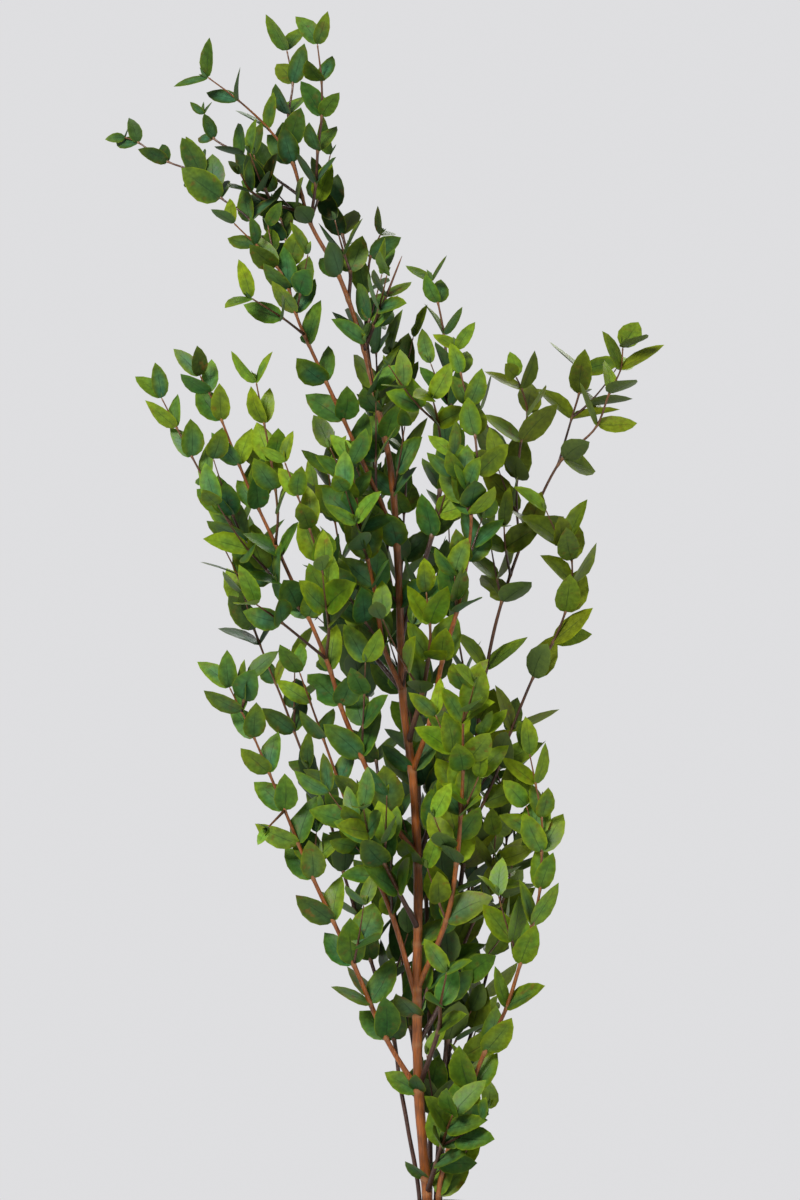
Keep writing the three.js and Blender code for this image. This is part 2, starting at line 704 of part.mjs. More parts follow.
const foliage = finish(LEAF_GREEN, 0.6);
for (const { name } of CUT_STEMS) {
  const solids = specs
    .filter((spec) => stems.get(spec.name).branch === name)
    .map((spec) => stemSolid(spec, stems.get(spec.name)));
  solids.push(...leaves.filter((leaf) => leaf.stem.branch === name).map(leafSolid));
  const grown = wasm.Manifold.union(solids).simplify(SHORTEST_EDGE);
  const branch = new THREE.Mesh(geometryOf(grown), foliage);
  branch.name = `branch_${name}`;
  object.add(branch);
}

export default object;
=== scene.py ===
"""The looks of preserved eucalyptus branches that stand in a plain stoneware vase.

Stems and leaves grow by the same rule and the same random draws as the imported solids, and as
thin curved blades. Short axil twigs, young leaves and tip buds then fill the spray.
Growth is worked out in millimetres, and meshes are made in metres.
"""

import logging
import math
from dataclasses import dataclass, fields
from enum import Enum

import bmesh
import bpy
import numpy as np
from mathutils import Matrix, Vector

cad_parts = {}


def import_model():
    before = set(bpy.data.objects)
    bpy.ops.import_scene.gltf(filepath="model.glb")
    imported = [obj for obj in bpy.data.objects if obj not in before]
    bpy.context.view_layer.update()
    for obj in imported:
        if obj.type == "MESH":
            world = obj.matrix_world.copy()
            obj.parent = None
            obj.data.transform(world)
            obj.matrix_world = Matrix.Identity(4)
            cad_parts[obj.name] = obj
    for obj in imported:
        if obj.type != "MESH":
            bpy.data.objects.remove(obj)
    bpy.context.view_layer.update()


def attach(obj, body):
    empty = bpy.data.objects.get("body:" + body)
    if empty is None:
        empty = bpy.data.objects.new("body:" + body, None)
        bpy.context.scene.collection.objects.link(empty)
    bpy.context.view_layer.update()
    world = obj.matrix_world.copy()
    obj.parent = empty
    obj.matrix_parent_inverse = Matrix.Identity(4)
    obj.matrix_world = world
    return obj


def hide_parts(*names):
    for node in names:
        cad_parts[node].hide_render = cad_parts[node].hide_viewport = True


LOG = logging.getLogger("eucalyptus")
MM = 0.001
Colour = tuple[float, float, float]
Span = tuple[float, float]

# Vase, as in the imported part.
VASE_HEIGHT = 200
VASE_WALL = 4.5
VASE_FLOOR = 7
VASE_OUTLINE = ((38, 0), (56, 70), (40, 132), (18, 178), (20, 200))

# Stems: heights on a stem are measured from the mouth of the vase. Below it the stems splay
# and twist a little round the middle of the bunch.
FOOT_GAP = 0.45
CUT_END = VASE_FLOOR + FOOT_GAP - VASE_HEIGHT
BUNCH_MIDDLE = np.array([-3.0, 2.0])
SPLAY = 2
TWIST = math.pi / 3
HIDDEN_STEPS = 3
DEPTH_SCALE = 1.35
DEPTH_RAMP = 150
DEPTH_EASE = 0.8
SHOOT_THINNER = 0.68
SHOOT_THICKEST = 1.4
SHOOT_TIP_RADIUS = 0.6
TAPER = 1.2
STEM_SAMPLE = 3
DIRECTION_STEP = 0.02
HEIGHT_STEPS = 40

# Leaves: opposite pairs, each pair a quarter turn on from the last.
BLADE_ROOT = 0.52
BLADE_TIP = 0.74
BLADE_WIDEST = BLADE_ROOT / (BLADE_ROOT + BLADE_TIP)
OPEN_ANGLE = (24, 58)
SIZE_RANGE = (0.9, 1.12)
CUP_RANGE = (0.02, 0.16)
BEND_RANGE = (-0.04, 0.13)
SLIM_RANGE = (0.55, 0.68)
SLIMMER_TIP = 0.13
ROLL_SWAY = 0.35
LIFT = 0.12
FACING = (0.8, 0.45)
TWIG_FACING = (0.6, 0.7)
WANTED_UP = 0.3
WANTED_SWAY = 0.4
OUTWARD_X = 0.6
INNER_SHARE = 0.4
WANTED_SHARE = 0.6
FIRST_SEED = 1000
SEED_STEP = 7919
LOOKS_SEED = 41
PAIR_SIDES = (0, math.pi)
TURN_TRIES = 22
TURN_STEP = 0.22
OPEN_STEP = 0.06
SHORTER_AFTER = 11
SHORTER = 0.82
TEST_MIDRIB = (1, 0.4, 0.7)
TEST_STATIONS = (0.12, 0.22, 0.32, 0.42, 0.52, 0.62, 0.72, 0.82, 0.91)
HELD_FROM = 0.1
HELD_TIP = 0.98
LEAF_REACH = 3
STEM_REACH_UP = 20
STEM_REACH_BEYOND = 6
OWN_STEM_FREE = 8
OTHER_STEM_FREE = 4
MOUTH_GAP = 1.5

# The centre stem stays in view from the front, but for a few stretches that leaves cross.
SHOWN_STEM = "centre"
SHOWN_UNTIL = 430
SHOWN_SIDE = 0.5
CROSSED_STRETCHES = ((44, 60), (188, 200), (217, 228), (334, 350), (381, 400))

FRONT = np.array([0.0, -1.0, 0.0])
UP = np.array([0.0, 0.0, 1.0])


class Tone(Enum):
    """How the leaves of a shoot are coloured. DARK is painted shade: the green tone darkened, for
    shoots that lie deep in the spray, at the back and near the top.
    """

    GREEN = "green"
    LIME = "lime"
    OLIVE = "olive"
    # Painted shade: this tone is the green one darkened, for shoots that lie deep in the spray.
    DARK = "dark"


@dataclass(frozen=True)
class Shoot:
    """A side shoot that starts on another stem at the height "start".

    Its route holds x and height, and it moves to "depth" (y) by its tip. A bare end carries
    no leaves.
    """

    name: str
    tone: Tone
    pairs: int
    leaf: Span
    route: tuple[tuple[float, ...], ...]
    on: str = ""
    start: float = 0
    depth: float = 0
    spread: Span = OPEN_ANGLE
    rust: bool = False
    bare: Span | None = None


@dataclass(frozen=True)
class CutStem(Shoot):
    """A stem that stands in the vase. Its route holds x, y and height from the mouth up.

    Leaf pairs begin at the height "leafy", and "collars" are single pairs further down. The
    radius runs from the cut end to the tip.
    """

    leafy: float = 0
    radius: Span = (1.5, 0.6)
    collars: tuple[float, ...] = ()


CUT_STEMS = (
    CutStem(
        "centre", Tone.GREEN, pairs=8, leaf=(20, 17), spread=(28, 62), rust=True, leafy=398,
        radius=(2.9, 0.6),
        collars=(14, 58, 96, 132, 172, 219, 258, 300, 330, 356, 384),
        route=(
            (-5, -1, 0), (-9.5, -3, 56), (-10.5, -4, 104), (-10, -4, 164), (-12.5, -4, 214),
            (-17.5, -4, 254), (-19.5, -4, 309), (-23, -4, 364), (-29.5, -2, 398), (-38, 0, 433),
            (-49.5, 2, 466), (-64, 3, 493), (-73, 3, 523), (-85, 2, 540), (-100, 0, 554),
            (-115, -3, 565),
        ),
    ),
    CutStem(
        "right", Tone.LIME, pairs=13, leaf=(23, 17), spread=(18, 44), rust=True, leafy=7,
        radius=(1.5, 0.6),
        route=(
            (0, -6, 0), (4.5, -9, 28), (9, -11, 42), (15, -13, 58), (22, -15, 77), (33, -18, 100),
            (40, -20, 122), (46, -22, 142), (50, -23, 160), (51, -24, 179), (51, -24, 196),
            (48, -24, 213), (45, -24, 228),
        ),
    ),
    CutStem(
        "far_right", Tone.OLIVE, pairs=15, leaf=(24, 21), spread=(38, 74), leafy=32,
        radius=(1.5, 0.6),
        route=(
            (-1, 5, 0), (2, 12, 54), (7, 18, 104), (11, 23, 154), (15, 26, 184), (18, 27, 214),
            (20, 27, 236), (23, 26, 259), (30, 24, 294), (42, 22, 331), (60, 20, 371),
            (79, 16, 390), (86, 14, 407), (92, 12, 420), (93, 10, 431),
        ),
    ),
    CutStem(
        "left", Tone.DARK, pairs=13, leaf=(22, 19), leafy=83, radius=(1.2, 0.6),
        route=(
            (-9, 3, 0), (-15, 6, 39), (-19, 9, 61), (-22, 12, 83), (-28, 16, 104), (-35, 20, 126),
            (-43, 24, 151), (-50, 27, 174), (-57, 29, 201), (-68, 30, 225), (-79, 30, 254),
            (-88, 28, 276), (-96, 25, 299), (-101, 20, 316), (-108, 15, 331),
        ),
    ),
    CutStem(
        "back", Tone.DARK, pairs=15, leaf=(22, 19), leafy=55, radius=(1.4, 0.6),
        route=(
            (-4, 6, 0), (-4, 12, 79), (-5, 20, 129), (-7, 28, 179), (-11, 32, 224), (-16, 35, 264),
            (-21, 36, 299), (-29, 36, 344), (-33, 34, 384), (-30, 30, 404),
        ),
    ),
    CutStem(
        "back_left", Tone.DARK, pairs=13, leaf=(22, 19), leafy=54, radius=(1.3, 0.6),
        route=(
            (-7, 8, 0), (-9, 15, 54), (-16, 27, 104), (-23, 42, 154), (-29, 54, 204),
            (-36, 62, 254), (-44, 64, 294), (-49, 62, 324), (-54, 57, 354), (-56, 52, 374),
        ),
    ),
    CutStem(
        "back_right", Tone.DARK, pairs=11, leaf=(22, 19), leafy=54, radius=(1.3, 0.6),
        route=(
            (1, 9, 0), (4, 18, 54), (9, 34, 104), (16, 48, 154), (20, 56, 204), (16, 61, 254),
            (8, 61, 304), (6, 56, 344),
        ),
    ),
)

SHOOTS = (
    Shoot(
        "low_left", Tone.GREEN, pairs=11, leaf=(22, 19), spread=(26, 58), rust=True, on="centre",
        start=57.5, depth=-28,
        route=((-26, 86), (-42, 123), (-62, 166), (-76, 200), (-91, 236), (-103, 261)),
    ),
    Shoot(
        "low_left_tip", Tone.LIME, pairs=1, leaf=(10, 10), on="low_left", start=200, depth=-30,
        route=((-84, 192),),
    ),
    Shoot(
        "big_left", Tone.GREEN, pairs=11, leaf=(23, 17), spread=(24, 54), rust=True, on="centre",
        start=175, depth=-38,
        route=((-25, 198), (-46, 245), (-56, 276), (-78, 326), (-95, 363), (-109, 398), (-117, 414)),
    ),
    Shoot(
        "big_left_inner", Tone.GREEN, pairs=2, leaf=(20, 20), on="big_left", start=275, depth=-55,
        route=((-77, 293), (-89, 302)),
    ),
    Shoot(
        "far_left", Tone.GREEN, pairs=7, leaf=(21, 17), spread=(20, 46), on="big_left", start=295,
        depth=-20,
        route=((-85, 319), (-106, 347), (-122, 375), (-137, 404)),
    ),
    Shoot(
        "left_inner", Tone.LIME, pairs=5, leaf=(19, 17), spread=(20, 46), on="big_left", start=331,
        depth=-50,
        route=((-79, 347), (-82, 372), (-89, 410)),
    ),
    Shoot(
        "left_bright", Tone.LIME, pairs=6, leaf=(21, 15), spread=(18, 44), on="big_left", start=275,
        depth=-55,
        route=((-54, 292), (-57, 318), (-65, 344), (-75, 371)),
    ),
    Shoot(
        "mid_left_short", Tone.DARK, pairs=3, leaf=(21, 20), on="centre", start=258, depth=15,
        route=((-35, 280), (-45, 298), (-53, 310)),
    ),
    Shoot(
        "mid_left", Tone.GREEN, pairs=7, leaf=(20, 19), rust=True, on="centre", start=258,
        depth=-30,
        route=((-27, 281), (-32, 311), (-38, 338), (-43, 371)),
    ),
    Shoot(
        "upper_left", Tone.GREEN, pairs=10, leaf=(21, 14), rust=True, on="centre", start=334,
        depth=-25,
        route=((-31, 358), (-49, 398), (-68, 439), (-78, 466), (-101, 490)),
    ),
    Shoot(
        "upper_left_low", Tone.GREEN, pairs=2, leaf=(18, 18), on="upper_left", start=435, depth=-38,
        route=((-77, 443), (-92, 452)),
    ),
    Shoot(
        "upper_left_inner", Tone.DARK, pairs=4, leaf=(16, 14), on="upper_left", start=456, depth=-8,
        route=((-74, 470), (-77, 489), (-82, 501)),
    ),
    Shoot(
        "top_left_short", Tone.DARK, pairs=3, leaf=(18, 8), on="centre", start=497, depth=-20,
        route=((-83, 502), (-93, 507), (-98, 515)),
    ),
    Shoot(
        "top_far_left", Tone.GREEN, pairs=6, leaf=(21, 9), spread=(30, 62), on="upper_left",
        start=466, depth=6,
        route=((-93, 492), (-108, 504), (-118, 516), (-135, 523), (-150, 533), (-157, 536)),
    ),
    Shoot(
        "top_left", Tone.GREEN, pairs=4, leaf=(18, 8), on="centre", start=505, depth=22,
        route=((-86, 519), (-98, 528), (-113, 537), (-118, 550)),
    ),
    Shoot(
        "top_tall", Tone.GREEN, pairs=4, leaf=(18, 19), spread=(30, 66), on="centre", start=505,
        depth=15,
        route=((-74, 532), (-75, 548), (-73, 564), (-76, 581)),
    ),
    Shoot(
        "top_right", Tone.GREEN, pairs=5, leaf=(17, 17), spread=(28, 60), on="centre", start=493,
        depth=-14,
        route=((-61, 512), (-60, 528), (-58, 545), (-58, 562), (-60, 580)),
    ),
    Shoot(
        "top_right_low", Tone.DARK, pairs=4, leaf=(20, 15), on="centre", start=454, depth=26,
        route=((-44, 469), (-48, 488), (-52, 502), (-57, 515)),
    ),
    Shoot(
        "dark_right", Tone.DARK, pairs=4, leaf=(19, 15), on="centre", start=418, depth=35,
        route=((-36, 439), (-36, 459), (-34, 478), (-29, 490)),
    ),
    Shoot(
        "bare_tip", Tone.GREEN, pairs=2, leaf=(18, 17), on="centre", start=428, depth=-12,
        bare=(-18, 475),
        route=((-32, 441), (-26, 455)),
    ),
    Shoot(
        "right_spire", Tone.GREEN, pairs=9, leaf=(20, 14), on="centre", start=284, depth=5,
        route=(
            (-13, 304), (-3, 336), (1, 359), (4, 381), (6, 401), (5, 417), (3, 437), (0, 453),
            (-3, 464),
        ),
    ),
    Shoot(
        "right_spire_inner", Tone.LIME, pairs=2, leaf=(18, 17), on="right_spire", start=370,
        depth=-35,
        route=((0, 391), (-3, 403)),
    ),
    Shoot(
        "right_inner", Tone.GREEN, pairs=7, leaf=(22, 16), rust=True, on="centre", start=218,
        depth=-40,
        route=((-4, 244), (2, 274), (9, 298), (14, 323), (16, 346), (12, 364), (7, 375)),
    ),
    Shoot(
        "right_bright", Tone.LIME, pairs=5, leaf=(20, 14), on="right_inner", start=345, depth=-22,
        route=((19, 366), (18, 385), (15, 400), (11, 416), (9, 428)),
    ),
    Shoot(
        "low_right", Tone.LIME, pairs=6, leaf=(22, 19), rust=True, on="centre", start=109,
        depth=-42,
        route=((4, 145), (9, 174), (11, 198), (12, 220), (12, 244), (14, 259)),
    ),
    Shoot(
        "mouth_right", Tone.GREEN, pairs=4, leaf=(23, 20), on="centre", start=6, depth=-25,
        route=((-1, 24), (3, 38), (7, 50)),
    ),
    Shoot(
        "low_front", Tone.GREEN, pairs=5, leaf=(22, 19), on="centre", start=82, depth=20,
        route=((2, 104), (6, 128), (8, 150), (7, 172)),
    ),
    Shoot(
        "low_left_back", Tone.GREEN, pairs=4, leaf=(22, 19), on="centre", start=140, depth=-34,
        route=((-20, 160), (-30, 180), (-40, 196)),
    ),
    Shoot(
        "mid_bright", Tone.LIME, pairs=4, leaf=(21, 19), on="centre", start=232, depth=-26,
        route=((-8, 258), (-4, 284), (-6, 308)),
    ),
    Shoot(
        "low_right_short", Tone.GREEN, pairs=3, leaf=(18, 17), on="centre", start=59, depth=-32,
        route=((0, 90), (1, 104), (4, 121)),
    ),
    Shoot(
        "low_left_inner", Tone.GREEN, pairs=8, leaf=(21, 18), rust=True, on="centre", start=104,
        depth=-8,
        route=((-23, 147), (-35, 175), (-45, 201), (-59, 240), (-69, 268)),
    ),
    Shoot(
        "mid_front", Tone.DARK, pairs=4, leaf=(21, 18), on="centre", start=172, depth=25,
        route=((-5, 189), (-2, 204), (1, 221), (2, 236)),
    ),
    Shoot(
        "far_right_back", Tone.OLIVE, pairs=9, leaf=(23, 20), spread=(34, 70), on="far_right",
        start=50, depth=38,
        route=((13, 74), (20, 96), (28, 128), (33, 160), (36, 190), (39, 216)),
    ),
    Shoot(
        "far_right_front", Tone.OLIVE, pairs=4, leaf=(22, 20), spread=(34, 70), on="far_right",
        start=118, depth=6,
        route=((18, 142), (26, 162), (29, 186)),
    ),
    Shoot(
        "lobe_left", Tone.OLIVE, pairs=6, leaf=(24, 15), spread=(34, 70), on="far_right", start=331,
        depth=5,
        route=((40, 348), (40, 365), (42, 384), (45, 398), (42, 410), (39, 416)),
    ),
    Shoot(
        "lobe_inner", Tone.OLIVE, pairs=3, leaf=(21, 20), spread=(34, 70), on="far_right",
        start=372, depth=36,
        route=((68, 396), (72, 409), (74, 421)),
    ),
    Shoot(
        "lobe_low", Tone.OLIVE, pairs=2, leaf=(20, 18), spread=(34, 66), on="far_right", start=316,
        depth=0,
        route=((34, 330), (33, 341)),
    ),
    Shoot(
        "wide_right", Tone.OLIVE, pairs=9, leaf=(24, 21), spread=(26, 56), on="far_right",
        start=184, depth=0,
        route=(
            (23, 201), (31, 220), (37, 238), (48, 265), (58, 283), (64, 298), (67, 312), (67, 324),
            (65, 334),
        ),
    ),
    Shoot(
        "back_upper", Tone.DARK, pairs=5, leaf=(20, 20), on="back", start=285, depth=18,
        route=((-18, 324), (-17, 348), (-17, 379), (-20, 408), (-24, 428)),
    ),
)


@dataclass(frozen=True)
class Clearance:
    """How far a new leaf keeps from the leaves and stems that are already there."""

    side: float
    face: float
    own_side: float
    own_face: float
    stem_side: float
    stem_face: float


SOLID_CLEARANCE = Clearance(0.8, 2.0, 0.4, 1.8, 0.4, 1.2)
FINE_CLEARANCE = Clearance(0.0, 0.85, 0.0, 0.75, 0.1, 0.4)


class Draw:
    """Random draws that come out alike in any language."""

    FACTOR = 16807
    MODULUS = 2147483647
    WARM_UP = 4

    def __init__(self, seed: int) -> None:
        """Starts the draws.

        Args:
            seed: A whole number above 0.
        """
        self.state = seed
        for _ in range(self.WARM_UP):
            self.next()

    def next(self) -> float:
        """Returns the next draw, from 0 to 1."""
        self.state = (self.state * self.FACTOR) % self.MODULUS
        return self.state / self.MODULUS

    def between(self, low: float, high: float) -> float:
        """Returns the next draw, from low to high."""
        return low + (high - low) * self.next()


def mix(low: float, high: float, share: float) -> float:
    """Returns the value that lies a share of the way from low to high."""
    return (1 - share) * low + share * high


def unit(vector: np.ndarray) -> np.ndarray:
    """Returns vectors of length 1 that point the same way."""
    return vector / np.linalg.norm(vector, axis=-1, keepdims=True)


def cross_axes(ahead: np.ndarray) -> tuple[np.ndarray, np.ndarray]:
    """Returns two directions square to the way ahead, and to each other."""
    sideways = unit(np.cross(ahead, FRONT))
    return sideways, np.cross(sideways, ahead)


def turned(axes: tuple[np.ndarray, np.ndarray], angle: float) -> np.ndarray:
    """Returns the direction at an angle from the first of two cross axes."""
    return axes[0] * math.cos(angle) + axes[1] * math.sin(angle)


def tilted(ahead: np.ndarray, off: np.ndarray, tilt: float) -> tuple[np.ndarray, np.ndarray]:
    """Returns the direction that leans from ahead towards "off", and the one square to it."""
    leaning = ahead * math.cos(tilt) + off * math.sin(tilt)
    return leaning, ahead * math.sin(tilt) - off * math.cos(tilt)


def curve_terms(
    p0: np.ndarray, p1: np.ndarray, p2: np.ndarray, p3: np.ndarray
) -> tuple[np.ndarray, np.ndarray, np.ndarray]:
    """Returns the terms of t, t squared and t cubed on the smooth curve from p1 to p2."""
    slope = 0.5 * (p2 - p0)
    last = 0.5 * (p3 - p1)
    return slope, -3 * p1 + 3 * p2 - 2 * slope - last, 2 * p1 - 2 * p2 + slope + last


def blade_width(s: np.ndarray) -> np.ndarray:
    """Returns a blade's width at the share s of its length, as 1 where it is widest."""
    widest = BLADE_WIDEST**BLADE_ROOT * (1 - BLADE_WIDEST) ** BLADE_TIP
    inside = np.clip(s, 0, 1)
    return inside**BLADE_ROOT * (1 - inside) ** BLADE_TIP / widest


class Stem:
    """A smooth stem through its route points. "u" counts route points from its foot."""

    ARC_STEP = 0.05

    def __init__(self, spec: Shoot, branch: str, points: list[np.ndarray], radius: Span) -> None:
        """Lays the stem along its points.

        Args:
            spec: What grows here.
            branch: The name of the cut stem that it belongs to.
            points: Route points in millimetres, from the foot to the tip.
            radius: The radius at the foot and at the tip.
        """
        self.spec = spec
        self.branch = branch
        self.points = np.array(points, float)
        self.end = len(points) - 1
        self.radius = radius
        before = 2 * self.points[0] - self.points[1]
        after = 2 * self.points[-1] - self.points[-2]
        self.padded = np.vstack([before, self.points, after])
        self.arc_u = np.append(np.arange(0, self.end, self.ARC_STEP), self.end)
        steps = np.linalg.norm(np.diff(self.at(self.arc_u), axis=0), axis=1)
        self.arc = np.concatenate([[0], np.cumsum(steps)])
        self.nodes: list[float] = []

    def at(self, u: float | np.ndarray) -> np.ndarray:
        """Returns the points at u."""
        place = np.asarray(u, float)
        i = np.clip(np.floor(place).astype(int), 0, self.end - 1)
        t = (place - i)[..., None]
        p0, p1, p2, p3 = (self.padded[i + k] for k in range(4))
        slope, square, cube = curve_terms(p0, p1, p2, p3)
        return p1 + slope * t + square * t * t + cube * t * t * t

    def direction(self, u: float | np.ndarray) -> np.ndarray:
        """Returns the way that the stem runs at u."""
        before = np.maximum(np.asarray(u) - DIRECTION_STEP, 0)
        after = np.minimum(np.asarray(u) + DIRECTION_STEP, self.end)
        return unit(self.at(after) - self.at(before))

    def radius_at(self, u: float | np.ndarray) -> np.ndarray:
        """Returns the stem's radius at u."""
        return mix(self.radius[0], self.radius[1], (np.asarray(u) / self.end) ** TAPER)

    def at_height(self, z: float) -> float:
        """Returns the first u whose point reaches z."""
        steps = HEIGHT_STEPS * self.end
        us = self.end * np.arange(steps + 1) / steps
        reached = np.nonzero(self.at(us)[:, 2] >= z)[0]
        return float(us[reached[0]]) if reached.size else float(self.end)

    def samples(self) -> tuple[np.ndarray, np.ndarray]:
        """Returns points along the stem, about 3 mm apart, and the radius at each."""
        us = []
        for i in range(self.end):
            gap = np.linalg.norm(self.points[i + 1] - self.points[i])
            count = max(2, math.ceil(gap / STEM_SAMPLE))
            us.extend(i + k / count for k in range(count))
        return self.at(np.array(us)), self.radius_at(np.array(us))

    def is_shown(self, points: np.ndarray) -> np.ndarray:
        """Tells which points of the stem stay in view from the front."""
        heights = points[:, 2] - VASE_HEIGHT
        shown = (heights > 0) & (heights < SHOWN_UNTIL) & (self.spec.name == SHOWN_STEM)
        for low, high in CROSSED_STRETCHES:
            shown &= (heights <= low) | (heights >= high)
        return shown


@dataclass(frozen=True)
class Place:
    """Where a leaf pair stands on a stem, and how far along its leafy part that is."""

    u: float
    t: float


def pair_places(stem: Stem) -> list[Place]:
    """Returns the places of the leaf pairs on a stem."""
    spec = stem.spec
    cut = isinstance(spec, CutStem)
    first = stem.at_height(spec.leafy + VASE_HEIGHT) if cut and spec.leafy else 1
    last = stem.end - 1 if spec.bare else stem.end
    places = []
    for k in range(spec.pairs):
        t = k / (spec.pairs - 1) if spec.pairs > 1 else 0.5
        places.append(Place(mix(first, last, t), t))
    if cut:
        places.extend(Place(stem.at_height(h + VASE_HEIGHT), 0) for h in spec.collars)
    return places


def cut_stem(spec: CutStem) -> Stem:
    """Returns the stem of a cut branch, from its foot in the vase to its tip."""
    points = []
    for x, y, height in spec.route:
        ramp = min(height / DEPTH_RAMP, 1)
        points.append((x, y * mix(1, DEPTH_SCALE, ramp), height + VASE_HEIGHT))
    mouth = np.array(spec.route[0][:2]) - BUNCH_MIDDLE
    turn = np.array([[math.cos(TWIST), -math.sin(TWIST)], [math.sin(TWIST), math.cos(TWIST)]])
    splayed = SPLAY * turn @ mouth
    for i in range(1, HIDDEN_STEPS + 1):
        x, y = mix(mouth, splayed, i / HIDDEN_STEPS) + BUNCH_MIDDLE
        points.insert(0, (x, y, VASE_HEIGHT + CUT_END * i / HIDDEN_STEPS))
    return Stem(spec, spec.name, points, spec.radius)


def side_shoot(spec: Shoot, parent: Stem) -> Stem:
    """Returns the stem of a side shoot that starts on its parent."""
    foot = parent.at_height(spec.start + VASE_HEIGHT)
    root = parent.at(foot)
    route = (*spec.route, spec.bare) if spec.bare else spec.route
    points = [root]
    for i, (x, height) in enumerate(route):
        y = mix(root[1], spec.depth * DEPTH_SCALE, ((i + 1) / len(route)) ** DEPTH_EASE)
        points.append((x, y, height + VASE_HEIGHT))
    thick = min(float(parent.radius_at(foot)) * SHOOT_THINNER, SHOOT_THICKEST)
    parent.nodes.append(foot)
    return Stem(spec, parent.branch, points, (thick, SHOOT_TIP_RADIUS))


@dataclass
class Blades:
    """Leaf blades side by side: one row of every array is one blade."""

    root: np.ndarray
    along: np.ndarray
    across: np.ndarray
    face: np.ndarray
    length: np.ndarray
    half: np.ndarray
    cup: np.ndarray
    bend: np.ndarray

    @classmethod
    def single(cls, root: np.ndarray, along: np.ndarray, face: np.ndarray, *numbers: float) -> "Blades":
        """Returns one blade. The numbers are its length, half width, cup and bend."""
        rows = (np.array([number]) for number in numbers)
        return cls(root[None], along[None], np.cross(face, along)[None], face[None], *rows)

    def rise(self, s: np.ndarray, across: np.ndarray) -> np.ndarray:
        """Returns how far the blades lie off their plane, at s and at a distance across."""
        cupped = self.cup[:, None] * across * across / self.half[:, None]
        return cupped - self.bend[:, None] * self.length[:, None] * s * s

    def points(self, s: np.ndarray, q: np.ndarray) -> np.ndarray:
        """Returns the blades' points at s along them and at the share q of their half width."""
        across = q * self.half[:, None] * blade_width(s)
        return (
            self.root[:, None]
            + self.along[:, None] * (s * self.length[:, None])[..., None]
            + self.across[:, None] * across[..., None]
            + self.face[:, None] * self.rise(s, across)[..., None]
        )

    def holds(self, points: np.ndarray, side: np.ndarray, gap: np.ndarray) -> np.ndarray:
        """Tells which points lie within "side" of a blade's outline and "gap" of its surface."""
        apart = points - self.root[:, None]
        s = np.sum(apart * self.along[:, None], axis=-1) / self.length[:, None]
        across = np.sum(apart * self.across[:, None], axis=-1)
        off = np.sum(apart * self.face[:, None], axis=-1)
        inside = (s >= HELD_FROM) & (s <= 1 + side / self.length[:, None])
        inside &= np.abs(across) <= self.half[:, None] * blade_width(np.minimum(s, HELD_TIP)) + side
        return inside & (np.abs(off - self.rise(s, across)) < gap)

    def some(self, rows: np.ndarray) -> "Blades":
        """Returns the blades of these rows."""
        return Blades(*(getattr(self, part.name)[rows] for part in fields(self)))


RIM_S = np.array([*TEST_MIDRIB, *(s for s in TEST_STATIONS for _ in range(2))])
RIM_Q = np.array([*(0 for _ in TEST_MIDRIB), *(q for _ in TEST_STATIONS for q in (-1, 1))])


@dataclass
class Leaf:
    """One leaf: its blade, the stem that it grew on and how young it is, from 0 to 1."""

    stem: Stem
    blade: Blades
    young: float

    def __post_init__(self) -> None:
        """Works out the points that clearance is tested with."""
        self.rim = self.blade.points(RIM_S, RIM_Q)[0]
        self.middle = self.blade.points(np.array([0.5]), np.array([0.0]))[0, 0]


